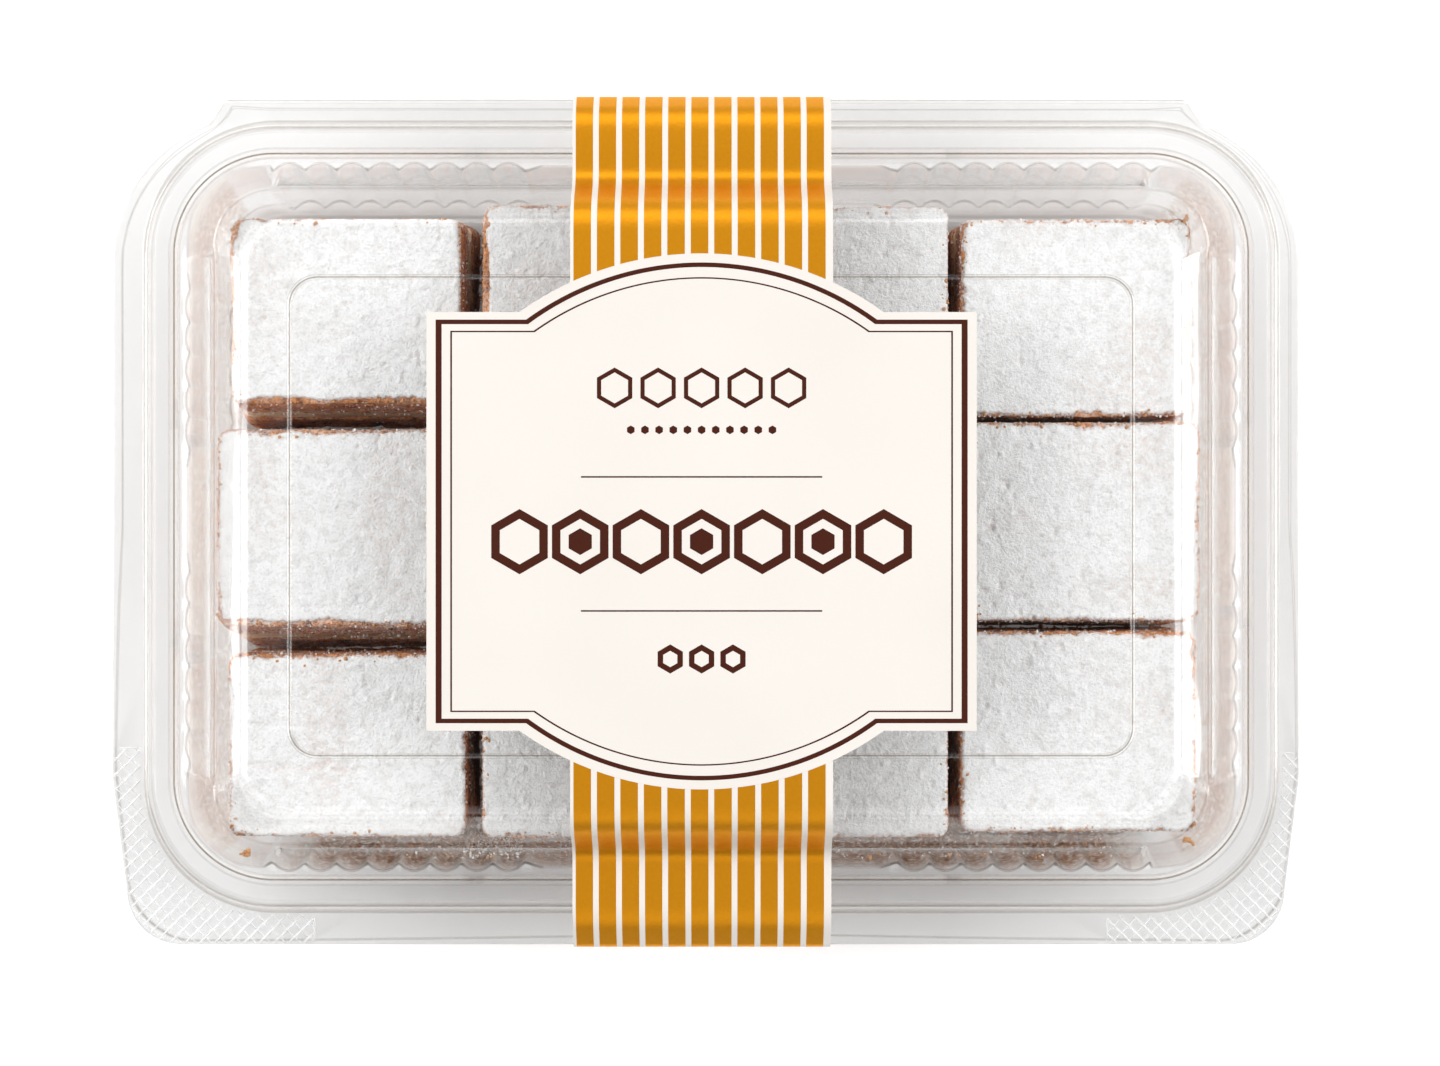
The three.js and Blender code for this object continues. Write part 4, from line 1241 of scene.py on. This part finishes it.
def on_top_edges(random, count):
    """Places on the sugar just inside each square's top edges"""
    places = []
    for row, column in itertools.product(range(3), range(4)):
        edge, outward = square_outline(square_edges(row, column, SPONGE_HIGH), 0, 700)
        chosen = random.integers(0, 700, count)
        inward = np.abs(random.normal(0, 0.6, count))
        flat = edge[chosen] - outward[chosen] * inward[:, None]
        places.append(np.column_stack([flat, SPONGE_HIGH + 0.3 + 0.35 * ease(inward)]))
    return np.concatenate(places)


def on_cut_faces(random, levels, count):
    """Places on each square's four sides, more of them near the top"""
    places = []
    for row, column in itertools.product(range(3), range(4)):
        for z in SPONGE_HIGH - 0.4 - np.abs(random.normal(0, 8, levels)):
            z = max(z, 2.0)
            edge, outward = square_outline(square_edges(row, column, z), 0, 700)
            chosen = random.integers(0, 700, count)
            flat = edge[chosen] + outward[chosen] * 0.05
            places.append(np.column_stack([flat, z + random.uniform(-1, 1, count) * 0.4]))
    return np.concatenate(places)


def on_front_wall(random, count, x_range):
    """Places on the inside of the tray's front wall"""
    x, z = random.uniform(*x_range, count), random.uniform(9, 33, count)
    foot, top = TRAY_RINGS[2], TRAY_RINGS[4]
    reach = np.interp(z, (foot[3], top[3]), (foot[1], top[1])) - FLUTE_DEPTH - 0.2
    return np.column_stack([x, FORM_CENTRE[1] - reach, z])


def in_cuts(random, count):
    """Places on the tray's floor in the cuts between the rows and the columns"""
    row_cuts = [(front + back) / 2 for (_, front), (back, _) in itertools.pairwise(BOTTOM_ROWS)]
    column_cuts = [(right + left) / 2 for (_, right), (left, _) in itertools.pairwise(BOTTOM_COLUMNS)]
    x, y = random.uniform(-97, 99, count), random.uniform(-62, 62, count)
    across, along = random.choice(row_cuts, count), random.choice(column_cuts, count)
    moved = (x < BOTTOM_COLUMNS[0][1]) & (across == row_cuts[1])
    across = np.where(moved, np.mean([place for _, place in MOVED_FEET.values()]), across)
    spread = random.uniform(-0.5, 0.5, count)
    rowwise = random.random(count) < 0.5
    flat = np.where(rowwise, (x, across + spread), (along + spread, y))
    return np.column_stack([*flat, np.full(count, SHEET + 0.35)])


def make_crumbs():
    """Crumbs of sponge and grains of sugar, on the floor, the squares and the front wall"""
    random = np.random.default_rng(31)
    floor = on_tray_floor(random, 5000)
    strays = np.repeat(STRAY_CRUMBS, 6, axis=0)
    strays += random.normal(0, 0.4, strays.shape) * (1, 1, 0)
    brown = [floor[::2], in_cuts(random, 2200), on_top_edges(random, 200)]
    brown.append(on_front_wall(random, 450, CRUMBED_X))
    white = [floor[1::2], on_cut_faces(random, 14, 38), on_front_wall(random, 160, CRUMBED_X)]
    white.append(on_front_wall(random, 260, SPECKLED_X))
    sponge_fields = (("crust_and_light", 1), ("pore_shade", 1.4), ("dust", 0.5))
    sugar_fields = (("thin", 0.3), ("edge", 0))
    kinds = (
        ("crumbs_of_sponge", "honey_sponge", brown, (0.22, 1.0), sponge_fields),
        ("stray_crumbs", "honey_sponge", [strays], (1.0, 1.7), (("crust_and_light", 1),)),
        ("grains_of_sugar", "icing_sugar", white, (0.28, 0.8), sugar_fields),
    )
    for name, slot, groups, (small, large), fields in kinds:
        places = np.concatenate(groups)
        sizes = small + (large - small) * random.random(len(places)) ** 3
        scatter(name, places, sizes, bpy.data.materials[slot], slot, random, fields)


# Stage, light and camera

def make_stage():
    reach = 4000
    points = [(-reach, -reach, -0.1), (reach, -reach, -0.1), (reach, reach, -0.1), (-reach, reach, -0.1)]
    floor = mesh_object("table_top", points, [(0, 1, 2, 3)], [floor_material()], smooth=False)


def softbox(name, at, size, power, aim=(0, 0, 30)):
    """A soft rectangular lamp that faces a point on the pack"""
    light = bpy.data.lights.new(name, "AREA")
    light.shape = "RECTANGLE"
    light.size, light.size_y = size[0] * MM, size[1] * MM
    light.energy = power
    lamp = bpy.data.objects.new(name, light)
    bpy.context.scene.collection.objects.link(lamp)
    start, target = np.array(at) * MM, np.array(aim) * MM
    lamp.location = start
    direction = Vector(target - start)
    lamp.rotation_mode = "QUATERNION"
    lamp.rotation_quaternion = direction.to_track_quat("-Z", "Y")
    lamp.visible_camera = False


def make_lights():
    softbox("left_softbox", (-900, 100, 700), (700, 900), 10)
    softbox("right_softbox", (900, 100, 700), (700, 900), 9.6)
    softbox("back_softbox", (-200, 900, 900), (1200, 600), 4.6)
    softbox("front_fill", (0, -1000, 800), (1200, 500), 1.6)
    for side, name in ((-1, "left_light_table"), (1, "right_light_table")):
        at = np.array([side * 192, 2, 3])
        softbox(name, at, (70, 118), 0.14, aim=at + (0, 0, 1))


def make_world():
    """A tent of white cloth, brighter above and dimmer in front, with a dark opening straight
    above for the camera"""
    world = bpy.data.worlds.new("studio")
    bpy.context.scene.world = world
    world.use_nodes = True
    nodes = world.node_tree.nodes
    nodes.clear()
    output = nodes.new("ShaderNodeOutputWorld")
    background = nodes.new("ShaderNodeBackground")
    where = nodes.new("ShaderNodeTexCoord")
    _, towards_back, height = split(nodes, where.outputs["Generated"])
    links = world.node_tree.links
    front = mixed(nodes, towards_back.stretched(-0.7, 0.2), (0.12, 0.12, 0.12, 1), (0.5, 0.5, 0.5, 1))
    roof = mixed(nodes, height.stretched(0.5, 0.8), front, (0.75, 0.75, 0.75, 1))
    opening = mixed(nodes, height.stretched(0.93, 0.98), roof, (0.04, 0.04, 0.04, 1))
    links.new(opening, background.inputs["Color"])
    background.inputs["Strength"].default_value = 1
    links.new(background.outputs["Background"], output.inputs["Surface"])


def make_camera():
    data = bpy.data.cameras.new("camera")
    data.sensor_width = SENSOR
    data.lens = FOCAL_PIXELS / PICTURE_WIDTH * SENSOR
    data.clip_start, data.clip_end = 0.01, 20
    camera = bpy.data.objects.new("camera", data)
    camera.location = [value * MM for value in CAMERA_AT]
    bpy.context.scene.collection.objects.link(camera)
    bpy.context.scene.camera = camera


bpy.context.scene.view_settings.view_transform = "Standard"
make_camera()
make_stage()
make_world()
make_lights()
make_tray()
make_lid()
make_knurls()
make_label()
make_squares()
make_crumbs()
